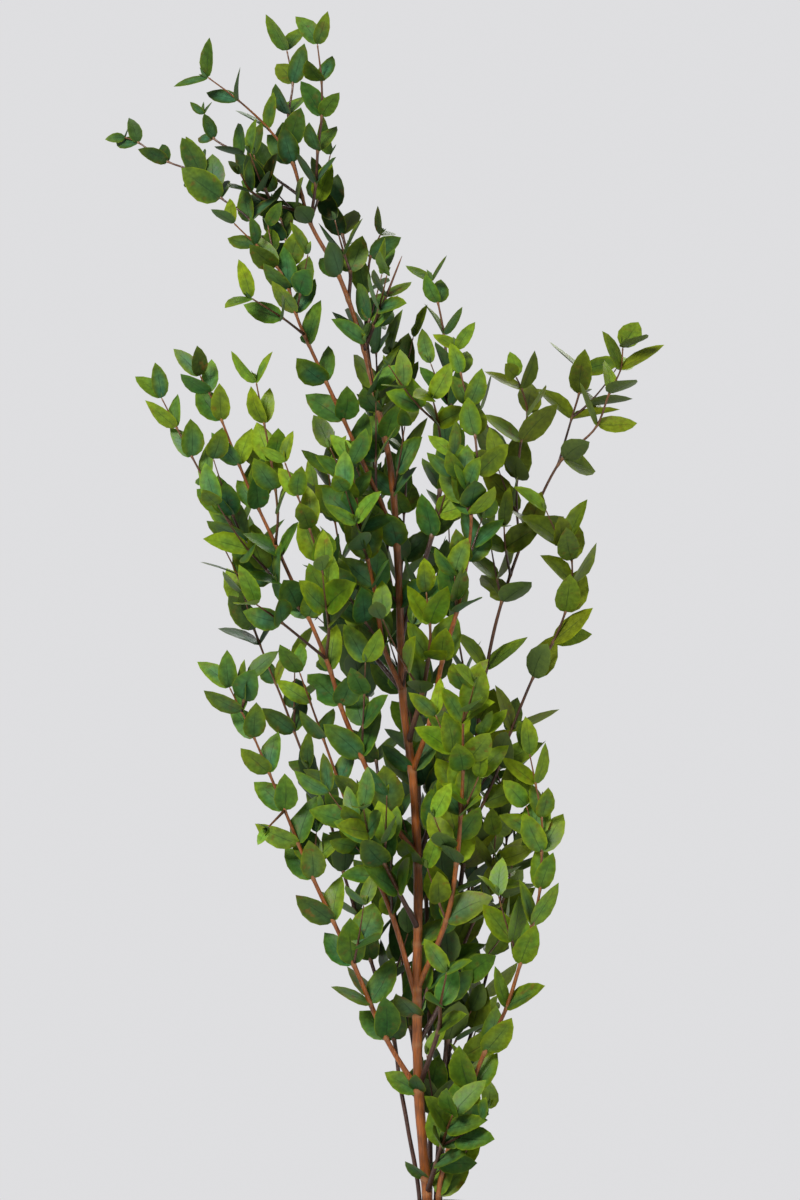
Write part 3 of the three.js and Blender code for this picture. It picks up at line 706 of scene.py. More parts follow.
class Canopy:
    """The leaves and stems that are already there."""

    CAPACITY = 4000

    def __init__(self, stems: list[Stem]) -> None:
        """Starts with the stems and no leaves.

        Args:
            stems: Every stem that leaves keep clear of.
        """
        vectors = [np.zeros((self.CAPACITY, 3)) for _ in range(4)]
        numbers = [np.ones(self.CAPACITY) for _ in range(4)]
        self.leaves: list[Leaf] = []
        self.blades = Blades(*vectors, *numbers)
        self.rims = np.zeros((self.CAPACITY, len(RIM_S), 3))
        self.middles = np.zeros((self.CAPACITY, 3))
        self.branches = np.empty(self.CAPACITY, object)
        self.points = np.zeros((0, 3))
        self.radii = np.zeros(0)
        self.owners = np.zeros(0, object)
        self.shown = np.zeros(0, bool)
        for stem in stems:
            self.add_stem(stem)

    def add_stem(self, stem: Stem) -> None:
        """Adds a stem that leaves keep clear of."""
        points, radii = stem.samples()
        self.points = np.vstack([self.points, points])
        self.radii = np.append(self.radii, radii)
        self.owners = np.append(self.owners, [stem.spec.name] * len(radii))
        self.shown = np.append(self.shown, stem.is_shown(points))

    def add(self, leaf: Leaf) -> None:
        """Adds a leaf."""
        row = len(self.leaves)
        for part in fields(Blades):
            getattr(self.blades, part.name)[row] = getattr(leaf.blade, part.name)[0]
        self.rims[row] = leaf.rim
        self.middles[row] = leaf.middle
        self.branches[row] = leaf.stem.branch
        self.leaves.append(leaf)

    def leaf_fits(self, leaf: Leaf, keep: Clearance) -> bool:
        """Tells whether a leaf clears the mouth of the vase, the other leaves and the stems."""
        if leaf.rim[:, 2].min() <= VASE_HEIGHT + MOUTH_GAP or self.hides_stem(leaf):
            return False
        count = len(self.leaves)
        length = leaf.blade.length[0]
        apart = np.linalg.norm(self.middles[:count] - leaf.middle, axis=1)
        near = np.nonzero(apart <= (self.blades.length[:count] + length) / 2 + LEAF_REACH)[0]
        if near.size:
            own = (self.branches[near] == leaf.stem.branch)[:, None]
            side = np.where(own, keep.own_side, keep.side)
            gap = np.where(own, keep.own_face, keep.face)
            if self.blades.some(near).holds(leaf.rim[None], side, gap).any():
                return False
            if leaf.blade.holds(self.rims[near], side, gap).any():
                return False
        return not self.meets_stem(leaf, keep)

    def hides_stem(self, leaf: Leaf) -> bool:
        """Tells whether a leaf lies in front of a stem that stays in view, past its own foot."""
        blade = leaf.blade
        near = self.shown & (np.abs(self.points[:, 2] - leaf.middle[2]) <= blade.length[0])
        near &= np.linalg.norm(self.points - blade.root[0], axis=1) >= OWN_STEM_FREE
        points, radii = self.points[near], self.radii[near]
        ahead = (blade.root[0] - points) @ blade.face[0] / (FRONT @ blade.face[0])
        hits = points + FRONT * ahead[:, None]
        return bool((blade.holds(hits[None], radii + SHOWN_SIDE, np.inf) & (ahead > 0)).any())

    def meets_stem(self, leaf: Leaf, keep: Clearance) -> bool:
        """Tells whether a leaf comes too near to a stem."""
        reach = leaf.blade.length[0] / 2 + STEM_REACH_BEYOND
        near = np.abs(self.points[:, 2] - leaf.middle[2]) <= STEM_REACH_UP
        near &= np.linalg.norm(self.points - leaf.middle, axis=1) <= reach
        free = np.where(self.owners == leaf.stem.spec.name, OWN_STEM_FREE, OTHER_STEM_FREE)
        near &= np.linalg.norm(self.points - leaf.blade.root[0], axis=1) >= free
        points, radii = self.points[near], self.radii[near]
        held = leaf.blade.holds(points[None], radii + keep.stem_side, radii + keep.stem_face)
        return bool(held.any())

    def twig_fits(self, twig: Stem) -> bool:
        """Tells whether a twig clears the leaves that are already there, past its foot."""
        points, radii = twig.samples()
        clear = np.linalg.norm(points - twig.points[0], axis=1) > Spray.twig_foot
        points, radii = points[clear], radii[clear]
        count = len(self.leaves)
        apart = np.linalg.norm(self.middles[:count] - points.mean(axis=0), axis=1)
        near = np.nonzero(apart < Spray.twig_reach)[0]
        if not near.size:
            return True
        return not self.blades.some(near).holds(points[None], radii, radii + Spray.twig_gap).any()


@dataclass
class Growth:
    """What one leaf grows from. "facing" weighs the front and the outward way for its face."""

    stem: Stem
    place: Place
    roll: float
    keep: Clearance
    facing: Span = FACING


def grow_leaf(growth: Growth, draw: Draw, canopy: Canopy) -> Leaf | None:
    """Grows one leaf, turned step by step until it clears what is already there.

    Args:
        growth: Where it grows, how it faces and what it keeps clear of.
        draw: The random draws.
        canopy: What is already there.

    Returns:
        The leaf, or None if no turn clears the rest.
    """
    place = growth.place
    spec = growth.stem.spec
    root = growth.stem.at(place.u)
    ahead = growth.stem.direction(place.u)
    axes = cross_axes(ahead)
    size = mix(*spec.leaf, place.t**2) * draw.between(*SIZE_RANGE)
    opening = math.radians(draw.between(*spec.spread))
    sway = np.array([draw.between(-1, 1) for _ in range(3)])
    cup = draw.between(*CUP_RANGE)
    bend = draw.between(*BEND_RANGE)
    slim = draw.between(*SLIM_RANGE) - SLIMMER_TIP * place.t
    outward = unit(np.array([root[0] * OUTWARD_X, root[1], 0]))
    front, away = growth.facing
    wanted = unit(FRONT * front + outward * away + UP * WANTED_UP + sway * WANTED_SWAY)
    for attempt in range(TURN_TRIES):
        step = (attempt + 1) // 2 * (1 if attempt % 2 else -1)
        off = turned(axes, growth.roll + step * TURN_STEP)
        leaning, inner = tilted(ahead, off, opening + step * OPEN_STEP)
        along = unit(leaning + UP * LIFT)
        flip = 1 if inner @ wanted >= 0 else -1
        face = inner * INNER_SHARE * flip + wanted * WANTED_SHARE
        face = unit(face - along * (face @ along))
        length = size * (1 if attempt < SHORTER_AFTER else SHORTER)
        blade = Blades.single(root, along, face, length, length * slim / 2, cup, bend)
        leaf = Leaf(growth.stem, blade, place.t)
        if canopy.leaf_fits(leaf, growth.keep):
            return leaf
    return None


@dataclass
class Spray:
    """All the stems and leaves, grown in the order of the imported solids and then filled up.

    An axil twig grows where three of its leaves have room, and each of them has to have a
    crowd of packed leaves near it as seen from the front. A pair of buds has its distance
    past the tip, its length and its opening angle.
    """

    twig_foot: float = 4.0
    twig_reach: float = 45.0
    twig_gap: float = 0.3
    twig_chance: float = 0.85
    twig_length: Span = (26, 54)
    twig_tilt: Span = (24, 46)
    twig_radius: Span = (0.6, 0.4)
    twig_leaf: float = 21.0
    twig_leaf_share: float = 1.05
    twig_tip_leaf: float = 0.86
    twig_spread: Span = (22, 52)
    twig_internode: float = 19.0
    twig_steps: int = 3
    twig_rise: float = 0.5
    twig_until: float = 0.9
    least_pairs: int = 2
    least_leaves: int = 3
    crowd: int = 8
    crowd_reach: float = 24.0
    bud_pairs: tuple[tuple[float, float, float], ...] = ((0.0, 5.2, 20.0), (1.0, 3.2, 10.0))
    bud_opening: Span = (0.7, 1.3)
    bud_size: Span = (0.75, 1.2)
    bud_half_width: float = 0.2
    bud_cup: float = 0.5
    bud_bend: float = -0.05

    def __post_init__(self) -> None:
        """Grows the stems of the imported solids."""
        self.stems: dict[str, Stem] = {}
        for spec in CUT_STEMS:
            self.stems[spec.name] = cut_stem(spec)
        for spec in SHOOTS:
            self.stems[spec.name] = side_shoot(spec, self.stems[spec.on])
        self.canopy = Canopy(list(self.stems.values()))
        self.packed = 0
        self.missed: list[Growth] = []
        self.buds: list[Leaf] = []

    def grow(self) -> None:
        """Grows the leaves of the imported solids, and then all that fills the spray."""
        self.grow_pairs()
        self.packed = len(self.canopy.leaves)
        LOG.info("leaves as in the packed solids: %d", self.packed)
        self.grow_missed()
        LOG.info("with the places left out there: %d", len(self.canopy.leaves))
        self.grow_twigs()
        LOG.info("with axil twigs: %d leaves, %d stems", len(self.canopy.leaves), len(self.stems))
        self.grow_buds()

    def grow_pairs(self) -> None:
        """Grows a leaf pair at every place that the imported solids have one."""
        for index, stem in enumerate(self.stems.values()):
            draw = Draw(FIRST_SEED + index * SEED_STEP)
            first_roll = draw.between(0, math.pi / 2)
            for k, place in enumerate(pair_places(stem)):
                stem.nodes.append(place.u)
                roll = first_roll + k * math.pi / 2 + draw.between(-ROLL_SWAY, ROLL_SWAY)
                for side in PAIR_SIDES:
                    growth = Growth(stem, place, roll + side, SOLID_CLEARANCE)
                    leaf = grow_leaf(growth, draw, self.canopy)
                    if leaf:
                        self.canopy.add(leaf)
                    else:
                        self.missed.append(growth)

    def grow_missed(self) -> None:
        """Tries the places that had no room again, now that thin blades need less of it."""
        draw = Draw(FIRST_SEED - 1)
        for growth in self.missed:
            growth.keep = FINE_CLEARANCE
            leaf = grow_leaf(growth, draw, self.canopy)
            if leaf:
                self.canopy.add(leaf)

    def grow_twigs(self) -> None:
        """Grows short leafy twigs from the axils of the leaf pairs."""
        draw = Draw(FIRST_SEED - 2)
        for parent in list(self.stems.values()):
            for k, place in enumerate(pair_places(parent)):
                if place.t > self.twig_until or draw.next() > self.twig_chance:
                    continue
                for side in PAIR_SIDES:
                    name = f"{parent.spec.name}_axil_{k}_{round(side)}"
                    self.grow_twig(parent, place, name, side, draw)

    def grow_twig(self, parent: Stem, place: Place, name: str, side: float, draw: Draw) -> None:
        """Grows one axil twig, if it and at least three of its leaves have room."""
        ahead = parent.direction(place.u)
        off = turned(cross_axes(ahead), draw.between(0, math.pi) + side)
        leaning, _ = tilted(ahead, off, math.radians(draw.between(*self.twig_tilt)))
        size = min(self.twig_leaf, mix(*parent.spec.leaf, place.t) * self.twig_leaf_share)
        length = draw.between(*self.twig_length) * (1 - place.t / 2) * size / self.twig_leaf
        points = [parent.at(place.u)]
        for i in range(1, self.twig_steps + 1):
            way = unit(leaning + UP * self.twig_rise * (i / self.twig_steps))
            points.append(points[-1] + way * length / self.twig_steps)
        pairs = max(self.least_pairs, round(length / self.twig_internode * self.twig_leaf / size))
        leaf = (size, size * self.twig_tip_leaf)
        spec = Shoot(name, parent.spec.tone, pairs, leaf, route=(), spread=self.twig_spread)
        twig = Stem(spec, parent.branch, points, self.twig_radius)
        if not self.canopy.twig_fits(twig):
            return
        grown = self.twig_leaves(twig, draw)
        if len(grown) < self.least_leaves:
            return
        for leaf in grown:
            self.canopy.add(leaf)
        self.canopy.add_stem(twig)
        self.stems[name] = twig
        parent.nodes.append(place.u)

    def twig_leaves(self, twig: Stem, draw: Draw) -> list[Leaf]:
        """Returns the leaves of a twig that have room."""
        roll = draw.between(0, math.pi / 2)
        grown = []
        for k in range(twig.spec.pairs):
            t = k / (twig.spec.pairs - 1)
            place = Place(mix(1, twig.end, t), t)
            twig.nodes.append(place.u)
            for side in PAIR_SIDES:
                turn = roll + k * math.pi / 2 + side
                growth = Growth(twig, place, turn, FINE_CLEARANCE, TWIG_FACING)
                leaf = grow_leaf(growth, draw, self.canopy)
                if leaf and self.is_inside(leaf):
                    grown.append(leaf)
        return grown

    def is_inside(self, leaf: Leaf) -> bool:
        """Tells whether a leaf lies among others from the front, so that outlines stay open."""
        apart = self.canopy.middles[: self.packed, ::2] - leaf.middle[::2]
        reach = self.crowd_reach * leaf.blade.length[0] / self.twig_leaf
        return int((np.linalg.norm(apart, axis=1) < reach).sum()) >= self.crowd

    def grow_buds(self) -> None:
        """Grows folded young leaves round the tip of every stem that doesn't end bare."""
        draw = Draw(FIRST_SEED - 3)
        for stem in self.stems.values():
            if stem.spec.bare:
                continue
            tip = stem.at(stem.end)
            ahead = stem.direction(stem.end)
            axes = cross_axes(ahead)
            first = draw.between(0, math.pi)
            for k, (beyond, length, opening) in enumerate(self.bud_pairs):
                for side in PAIR_SIDES:
                    off = turned(axes, first + k * math.pi / 2 + side)
                    tilt = math.radians(opening * draw.between(*self.bud_opening))
                    leaning, inner = tilted(ahead, off, tilt)
                    size = length * draw.between(*self.bud_size)
                    numbers = (size, size * self.bud_half_width, self.bud_cup, self.bud_bend)
                    root = tip + ahead * beyond
                    blade = Blades.single(root, unit(leaning), unit(inner), *numbers)
                    self.buds.append(Leaf(stem, blade, 1.0))


@dataclass(frozen=True)
class Palette:
    """The colour of one leaf tone, linear, how yellow its rims grow, and its bluish bloom."""

    middle: Colour
    rim: float
    bloom: float


LEAF_PALETTES = {
    Tone.GREEN: Palette((0.031, 0.106, 0.014), 0.50, 1.0),
    Tone.LIME: Palette((0.074, 0.160, 0.006), 0.90, 0.7),
    Tone.OLIVE: Palette((0.094, 0.126, 0.007), 0.60, 0.12),
    # Painted shade: the tone of the shoots deep in the spray is the green one at about 0.45 of its
    # brightness.
    Tone.DARK: Palette((0.014, 0.048, 0.006), 0.30, 0.5),
}
YOUNG_GREEN = (0.160, 0.290, 0.020)
AGED_GREEN = (0.062, 0.080, 0.014)
RUST_BARK = (0.275, 0.076, 0.010)
DARK_BARK = (0.055, 0.022, 0.014)
YOUNG_BARK = (0.160, 0.060, 0.014)


def mesh_of(shape: bmesh.types.BMesh, name: str) -> bpy.types.Mesh:
    """Turns a finished shape into a mesh, and returns it."""
    mesh = bpy.data.meshes.new(name)
    shape.to_mesh(mesh)
    shape.free()
    return mesh


def placed(name: str, data: bpy.types.ID) -> bpy.types.Object:
    """Returns a new object that holds the data, linked into the scene."""
    holder = bpy.data.objects.new(name, data)
    bpy.context.scene.collection.objects.link(holder)
    return holder


def dress(piece: bpy.types.Object, material: bpy.types.Material, node: str) -> None:
    """Gives a finished piece its material and its place in the frame."""
    piece.data.materials.append(material)
    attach(piece, "root")
    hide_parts(node)
    LOG.info("%s: %d faces", piece.name, len(piece.data.polygons))


def add_layer(mesh: bpy.types.Mesh, name: str, values: np.ndarray) -> None:
    """Gives every point of a mesh its own colour, or a number where the values are a flat list."""
    kind, key = ("FLOAT_COLOR", "color") if values.ndim > 1 else ("FLOAT", "value")
    layer = mesh.attributes.new(name, kind, "POINT")
    layer.data.foreach_set(key, values.astype(np.float32).ravel())


@dataclass
class Foliage:
    """Turns the leaves of one branch into one mesh of thin closed blades.

    row_shares are the places along a blade that have points, and a blade shorter than
    full_length is thinner too. Leaves get a painted shade through the heights of high_band,
    darker towards the top of the spray, and hue_sway is how far red, green and blue sway from
    leaf to leaf. rare_young and rare_aged hold the draw above which a leaf is that, and how much
    so at most.
    """

    branch: str
    leaves: list[Leaf]
    row_shares: tuple[float, ...] = (0.0, 0.04, 0.16, 0.36, 0.6, 0.83, 1.0)
    columns: int = 4
    near: float = 0.01
    thickness: float = 0.5
    midrib: float = 0.3
    full_length: float = 12.0
    fold_range: Span = (0.0, 0.22)
    ripple_range: Span = (0.0, 0.15)
    ripple_waves: float = 1.4
    skew: float = 0.06
    bite_chance: float = 0.03
    bite_place: Span = (0.3, 0.8)
    bite_from: float = 0.8
    bite_depth: float = 0.5
    bite_width: float = 0.13
    larger: float = 1.08
    pointed: float = 0.22
    high_band: Span = (450, 500)
    high_darker: float = 0.6
    hue_sway: tuple[float, float, float] = (0.22, 0.0, -0.4)
    shade_range: Span = (0.55, 1.3)
    rim_range: Span = (0.4, 1.4)
    bloom_range: Span = (-0.15, 1.0)
    young_tip: float = 0.4
    rare_young: Span = (0.74, 0.75)
    rare_aged: Span = (0.75, 0.6)

    def template(self) -> bpy.types.Mesh:
        """Returns one flat blade: x is the row, y the share across and z the side of the blade.

        Both sides are split into the same triangles, so that they don't cross near the rim.
        """
        blade = bmesh.new()
        rows = len(self.row_shares) - 1
        uv_layer = blade.loops.layers.uv.new("blade")
        side_layer = blade.faces.layers.float.new("upper_side")
        bmesh.ops.create_grid(blade, x_segments=rows, y_segments=self.columns, size=1)
        for face in blade.faces:
            face.smooth = True
            face[side_layer] = 1
            for loop in face.loops:
                row = round((loop.vert.co.x + 1) / 2 * rows)
                loop[uv_layer].uv = (self.row_shares[row], (loop.vert.co.y + 1) / 2)
        bmesh.ops.triangulate(blade, faces=blade.faces[:], quad_method="FIXED")
        for vert in blade.verts:
            vert.co.x = round((vert.co.x + 1) / 2 * rows)
        whole = blade.verts[:] + blade.edges[:] + blade.faces[:]
        copied = bmesh.ops.duplicate(blade, geom=whole)["geom"]
        backs = [part for part in copied if isinstance(part, bmesh.types.BMFace)]
        bmesh.ops.reverse_faces(blade, faces=backs)
        for face in backs:
            face[side_layer] = 0
        back_verts = {vert for face in backs for vert in face.verts}
        rim = [
            vert for vert in blade.verts
            if abs(vert.co.y) > 1 - self.near or round(vert.co.x) in (0, rows)
        ]
        for vert in set(blade.verts) - set(rim):
            vert.co.z = -1 if vert in back_verts else 1
        bmesh.ops.remove_doubles(blade, verts=rim, dist=self.near)
        for row in (0, rows):
            pole = [vert for vert in blade.verts if round(vert.co.x) == row]
            bmesh.ops.pointmerge(blade, verts=pole, merge_co=(row, 0, 0))
        for edge in blade.edges:
            sides = {face[side_layer] for face in edge.link_faces}
            edge.smooth = len(sides) == 1
        return mesh_of(blade, f"blade_{self.branch}")

    def shaped(self, flat: np.ndarray, draw: Draw) -> np.ndarray:
        """Returns the points of every blade, in millimetres.

        Args:
            flat: The template's points.
            draw: Random draws for folds, ripples and bites.

        Returns:
            An array of leaves by points by three.
        """
        s = np.interp(flat[:, 0], np.arange(len(self.row_shares)), self.row_shares)
        q, side = flat[:, 1], flat[:, 2]
        names = [part.name for part in fields(Blades)]
        blades = Blades(*(np.concatenate([getattr(x.blade, n) for x in self.leaves]) for n in names))
        count = len(self.leaves)
        fold, ripple, phase, skew, bite = (np.empty((count, 1)) for _ in range(5))
        for i in range(count):
            fold[i] = draw.between(*self.fold_range)
            ripple[i] = draw.between(*self.ripple_range)
            phase[i] = draw.between(0, 2 * math.pi)
            skew[i] = draw.between(-self.skew, self.skew)
            bite[i] = draw.between(*self.bite_place) if draw.next() < self.bite_chance else -1
        length = blades.length[:, None] * self.larger
        half = blades.half[:, None] * self.larger
        bitten = self.bite_depth * np.exp(-(((s - bite) / self.bite_width) ** 2))
        bitten = np.where(bite > 0, bitten * (q > self.bite_from), 0)
        across = q * half * blade_width(s) * (1 - self.pointed * s**4) * (1 - bitten)
        across = across + skew * length * np.sin(math.pi * s)
        off = blades.rise(s, across) + fold * np.abs(across)
        off = off + ripple * q * np.abs(q) * np.sin(2 * math.pi * self.ripple_waves * s + phase)
        midrib = np.where(side < 0, self.midrib * (1 - np.abs(q)) * (1 - s), 0)
        thick = (self.thickness / 2 + midrib) * np.minimum(1, length / self.full_length)
        off = off + side * thick
        return (
            blades.root[:, None]
            + blades.along[:, None] * (s * length)[..., None]
            + blades.across[:, None] * across[..., None]
            + blades.face[:, None] * off[..., None]
        )

    def build(self, material: bpy.types.Material, seed: int) -> None:
        """Builds the leaves as one piece, and dresses it.

        Args:
            material: The leaf's finish.
            seed: The seed of its small random shapes and colours.
        """
        template = self.template()
        points = len(template.vertices)
        flat = np.array([vert.co for vert in template.vertices])
        fused = bmesh.new()
        for _ in self.leaves:
            fused.from_mesh(template)
        bpy.data.meshes.remove(template)
        name = f"leaves_{self.branch}"
        mesh = mesh_of(fused, name)
        draw = Draw(seed)
        shaped = self.shaped(flat, draw) * MM
        mesh.vertices.foreach_set("co", shaped.astype(np.float32).ravel())
        tints, traits = self.colours(draw)
        add_layer(mesh, "leaf_tint", np.repeat(tints, points, axis=0))
        add_layer(mesh, "leaf_traits", np.repeat(traits, points, axis=0))
        mesh.update()
        dress(placed(name, mesh), material, f"branch_{self.branch}")

    @staticmethod
    def rare(draw: Draw, start: float, most: float) -> float:
        """Returns 0 for a draw up to start, and then more, up to "most" for a draw of 1."""
        return most * max(draw.next() - start, 0) / (1 - start)

    def colours(self, draw: Draw) -> tuple[np.ndarray, np.ndarray]:
        """Returns each leaf's tint, and its traits: yellow rim, age and bluish bloom."""
        tints = np.ones((len(self.leaves), 4))
        traits = np.ones((len(self.leaves), 4))
        for i, leaf in enumerate(self.leaves):
            palette = LEAF_PALETTES[leaf.stem.spec.tone]
            young = self.young_tip * leaf.young**3 * draw.next() + self.rare(draw, *self.rare_young)
            aged = self.rare(draw, *self.rare_aged)
            tint = mix(np.array(palette.middle), np.array(YOUNG_GREEN), young)
            tint = mix(tint, np.array(AGED_GREEN), aged)
            bluish = max(draw.between(*self.bloom_range), 0) * (1 - young) * palette.bloom
            # Painted shade: leaves, and their yellow rims too, darken through the heights of high_band
            # towards the top of the spray.
            height = leaf.blade.root[0, 2] - VASE_HEIGHT
            shade = np.interp(height, self.high_band, (1, self.high_darker))
            sway = 1 + draw.between(-1, 1) * np.array(self.hue_sway)
            tints[i, :3] = tint * sway * draw.between(*self.shade_range) * shade
            rim = (palette.rim * draw.between(*self.rim_range) + young) * shade
            traits[i, :3] = (rim, aged, bluish)
        return tints, traits


@dataclass
class Bark:
    """Turns the stems of one branch into one mesh of tapered tubes with swollen nodes.

    Lengths and node_swell are in millimetres, and foot_swell is a share of the radius. The
    last ring is drawn in to tip_end of its radius. A stem without nodes has its nearest one
    at the distance no_node.
    """

    branch: str
    stems: list[Stem]
    spacing: float = 3.5
    node_rings: tuple[float, ...] = (-2.2, -1.1, 0.0, 1.0, 2.2)
    node_swell: float = 0.24
    node_length: float = 1.2
    no_node: float = 99.0
    foot_swell: float = 0.45
    foot_length: float = 2.6
    tip_share: float = 0.55
    tip_end: float = 0.35
    closest: float = 0.45
    thick: float = 2.0
    thick_sides: int = 16
    sides: int = 9
    wobble: float = 0.035
    wobble_length: float = 17.0
    young_tip: float = 0.8
    young_lime: float = 0.3

    def __post_init__(self) -> None:
        """Starts the notes that the tubes add to."""
        self.tints: list[tuple[float, ...]] = []
        self.marks: list[float] = []

    def stations(self, stem: Stem) -> tuple[np.ndarray, np.ndarray]:
        """Returns the lengths along a stem where it has rings, and those of its nodes."""
        total = stem.arc[-1]
        nodes = np.interp(sorted(set(stem.nodes)), stem.arc_u, stem.arc)
        plain = np.linspace(0, total, max(3, math.ceil(total / self.spacing)))
        rings = np.concatenate([plain, *(nodes + offset for offset in self.node_rings)])
        rings = np.sort(rings[(rings >= 0) & (rings <= total)])
        kept = [0.0]
        for ring in rings:
            if ring - kept[-1] > self.closest:
                kept.append(float(ring))
        return np.array(kept), nodes

    def tube(self, stem: Stem) -> bmesh.types.BMesh:
        """Builds one stem in millimetres, and notes the colour and node mark of its points."""
        lengths, nodes = self.stations(stem)
        us = np.interp(lengths, stem.arc, stem.arc_u)
        centres = stem.at(us)
        right, forward = cross_axes(stem.direction(us))
        apart = np.abs(lengths[:, None] - nodes[None]).min(axis=1, initial=self.no_node)
        mark = np.exp(-((apart / self.node_length) ** 2))
        foot = isinstance(stem.spec, CutStem)
        flare = 0 if foot else self.foot_swell * np.exp(-lengths / self.foot_length)
        share = us / stem.end
        slimmer = mix(1, self.tip_share, share**3)
        radii = stem.radius_at(us) * slimmer * (1 + flare) + self.node_swell * mark
        radii[-1] *= self.tip_end
        tube = bmesh.new()
        sides = self.thick_sides if stem.radius[0] > self.thick else self.sides
        depth = len(us) - 1
        bmesh.ops.create_cone(
            tube, cap_ends=True, cap_tris=False, segments=sides, radius1=1, radius2=1, depth=depth
        )
        upright = [e for e in tube.edges if abs(e.verts[0].co.z - e.verts[1].co.z) > 0.5]
        bmesh.ops.subdivide_edges(tube, edges=upright, cuts=depth - 1, use_grid_fill=True)
        for vert in tube.verts:
            ring = round(vert.co.z + depth / 2)
            angle = math.atan2(vert.co.y, vert.co.x)
            wave = math.sin(2 * angle + lengths[ring] / self.wobble_length * math.pi)
            reach = radii[ring] * (1 + self.wobble * wave)
            vert.co = centres[ring] + reach * turned((right[ring], forward[ring]), angle)
            self.tints.append(self.tint(stem, share[ring]))
            self.marks.append(mark[ring])
        for face in tube.faces:
            face.smooth = len(face.verts) == 4
        return tube

    def tint(self, stem: Stem, share: float) -> tuple[float, ...]:
        """Returns the bark's colour at the share of a stem's length."""
        base = np.array(RUST_BARK if stem.spec.rust else DARK_BARK)
        lime = self.young_lime if stem.spec.tone is Tone.LIME else 0
        young = min(1.0, self.young_tip * share**2 + lime)
        return (*mix(base, np.array(YOUNG_BARK), young), 1.0)

    def build(self, material: bpy.types.Material) -> None:
        """Builds the stems as one piece, and dresses it."""
        name = f"stems_{self.branch}"
        fused = bmesh.new()
        for stem in self.stems:
            part = mesh_of(self.tube(stem), "tube")
            fused.from_mesh(part)
            bpy.data.meshes.remove(part)
        bmesh.ops.scale(fused, vec=(MM, MM, MM), verts=fused.verts)
        bmesh.ops.recalc_face_normals(fused, faces=fused.faces)
        mesh = mesh_of(fused, name)
        add_layer(mesh, "bark_tint", np.array(self.tints))
        add_layer(mesh, "bark_node", np.array(self.marks))
        dress(placed(name, mesh), material, f"branch_{self.branch}")


@dataclass
class Vase:
    """The plain stoneware vase: a full body, a narrow neck and an unglazed foot ring.

    foot_groove and floor_round hold steps of radius and height, inside the foot ring and where
    the wall meets the floor.
    """

    steps: int = 64
    turns: int = 96
    foot_recess: float = 1.6
    foot_inside: float = 31.0
    foot_groove: tuple[Span, ...] = ((-1.0, 0.0), (0.0, -0.5))
    foot_slope: float = 0.8
    foot_edge: float = 1.2
    lip_steps: int = 6
    wall_from: float = 3.0
    floor_round: tuple[Span, ...] = ((-2.5, 0.6), (-8.0, 0.0))

    def outline(self, t: float) -> tuple[np.ndarray, np.ndarray]:
        """Returns the point and the direction of the outer wall at the share t of its length."""
        points = np.array(VASE_OUTLINE, float)
        last = len(points) - 1
        i = min(int(t * last), last - 1)
        w = t * last - i
        p0, p1, p2, p3 = (points[min(max(i + k, 0), last)] for k in (-1, 0, 1, 2))
        slope, square, cube = curve_terms(p0, p1, p2, p3)
        point = p1 + slope * w + square * w * w + cube * w * w * w
        return point, unit(slope + 2 * square * w + 3 * cube * w * w)

    def profile(self) -> list[Span]:
        """Returns radius and height from the middle of the foot round to the inner floor."""
        foot_radius = VASE_OUTLINE[0][0]
        points = [(0, self.foot_recess)]
        for across, up in self.foot_groove:
            points.append((self.foot_inside + across, self.foot_recess + up))
        points.append((self.foot_inside + self.foot_slope, 0))
        points.append((foot_radius - self.foot_edge, 0))
        points.append((foot_radius - self.foot_edge / 3, self.foot_edge / 3))
        outer = [self.outline(i / self.steps) for i in range(self.steps + 1)]
        points.extend(tuple(point) for point, _ in outer if point[1] > self.foot_edge)
        tip, way = outer[-1]
        inward = np.array([-way[1], way[0]])
        middle = tip + inward * VASE_WALL / 2
        for i in range(1, self.lip_steps):
            angle = math.pi * i / self.lip_steps
            reach = way * math.sin(angle) - inward * math.cos(angle)
            points.append(tuple(middle + reach * VASE_WALL / 2))
        for point, way in reversed(outer):
            inner = point + np.array([-way[1], way[0]]) * VASE_WALL
            if inner[1] > VASE_FLOOR + self.wall_from:
                points.append((inner[0], inner[1]))
        radius = points[-1][0]
        points.extend((radius + across, VASE_FLOOR + up) for across, up in self.floor_round)
        points.append((0, VASE_FLOOR))
        return points

    def build(self, material: bpy.types.Material) -> None:
        """Builds the vase, and dresses it."""
        pot = bmesh.new()
        ring = [pot.verts.new((radius * MM, 0, height * MM)) for radius, height in self.profile()]
        edges = [pot.edges.new(pair) for pair in zip(ring, ring[1:])]
        bmesh.ops.spin(
            pot, geom=ring + edges, cent=(0, 0, 0), axis=(0, 0, 1), angle=2 * math.pi,
            steps=self.turns, use_merge=True, use_duplicate=False,
        )
        bmesh.ops.remove_doubles(pot, verts=pot.verts, dist=1e-6)
        bmesh.ops.recalc_face_normals(pot, faces=pot.faces)
        for face in pot.faces:
            face.smooth = True
        piece = placed("stoneware_vase", mesh_of(pot, "stoneware_vase"))
        dress(piece, material, "vase")


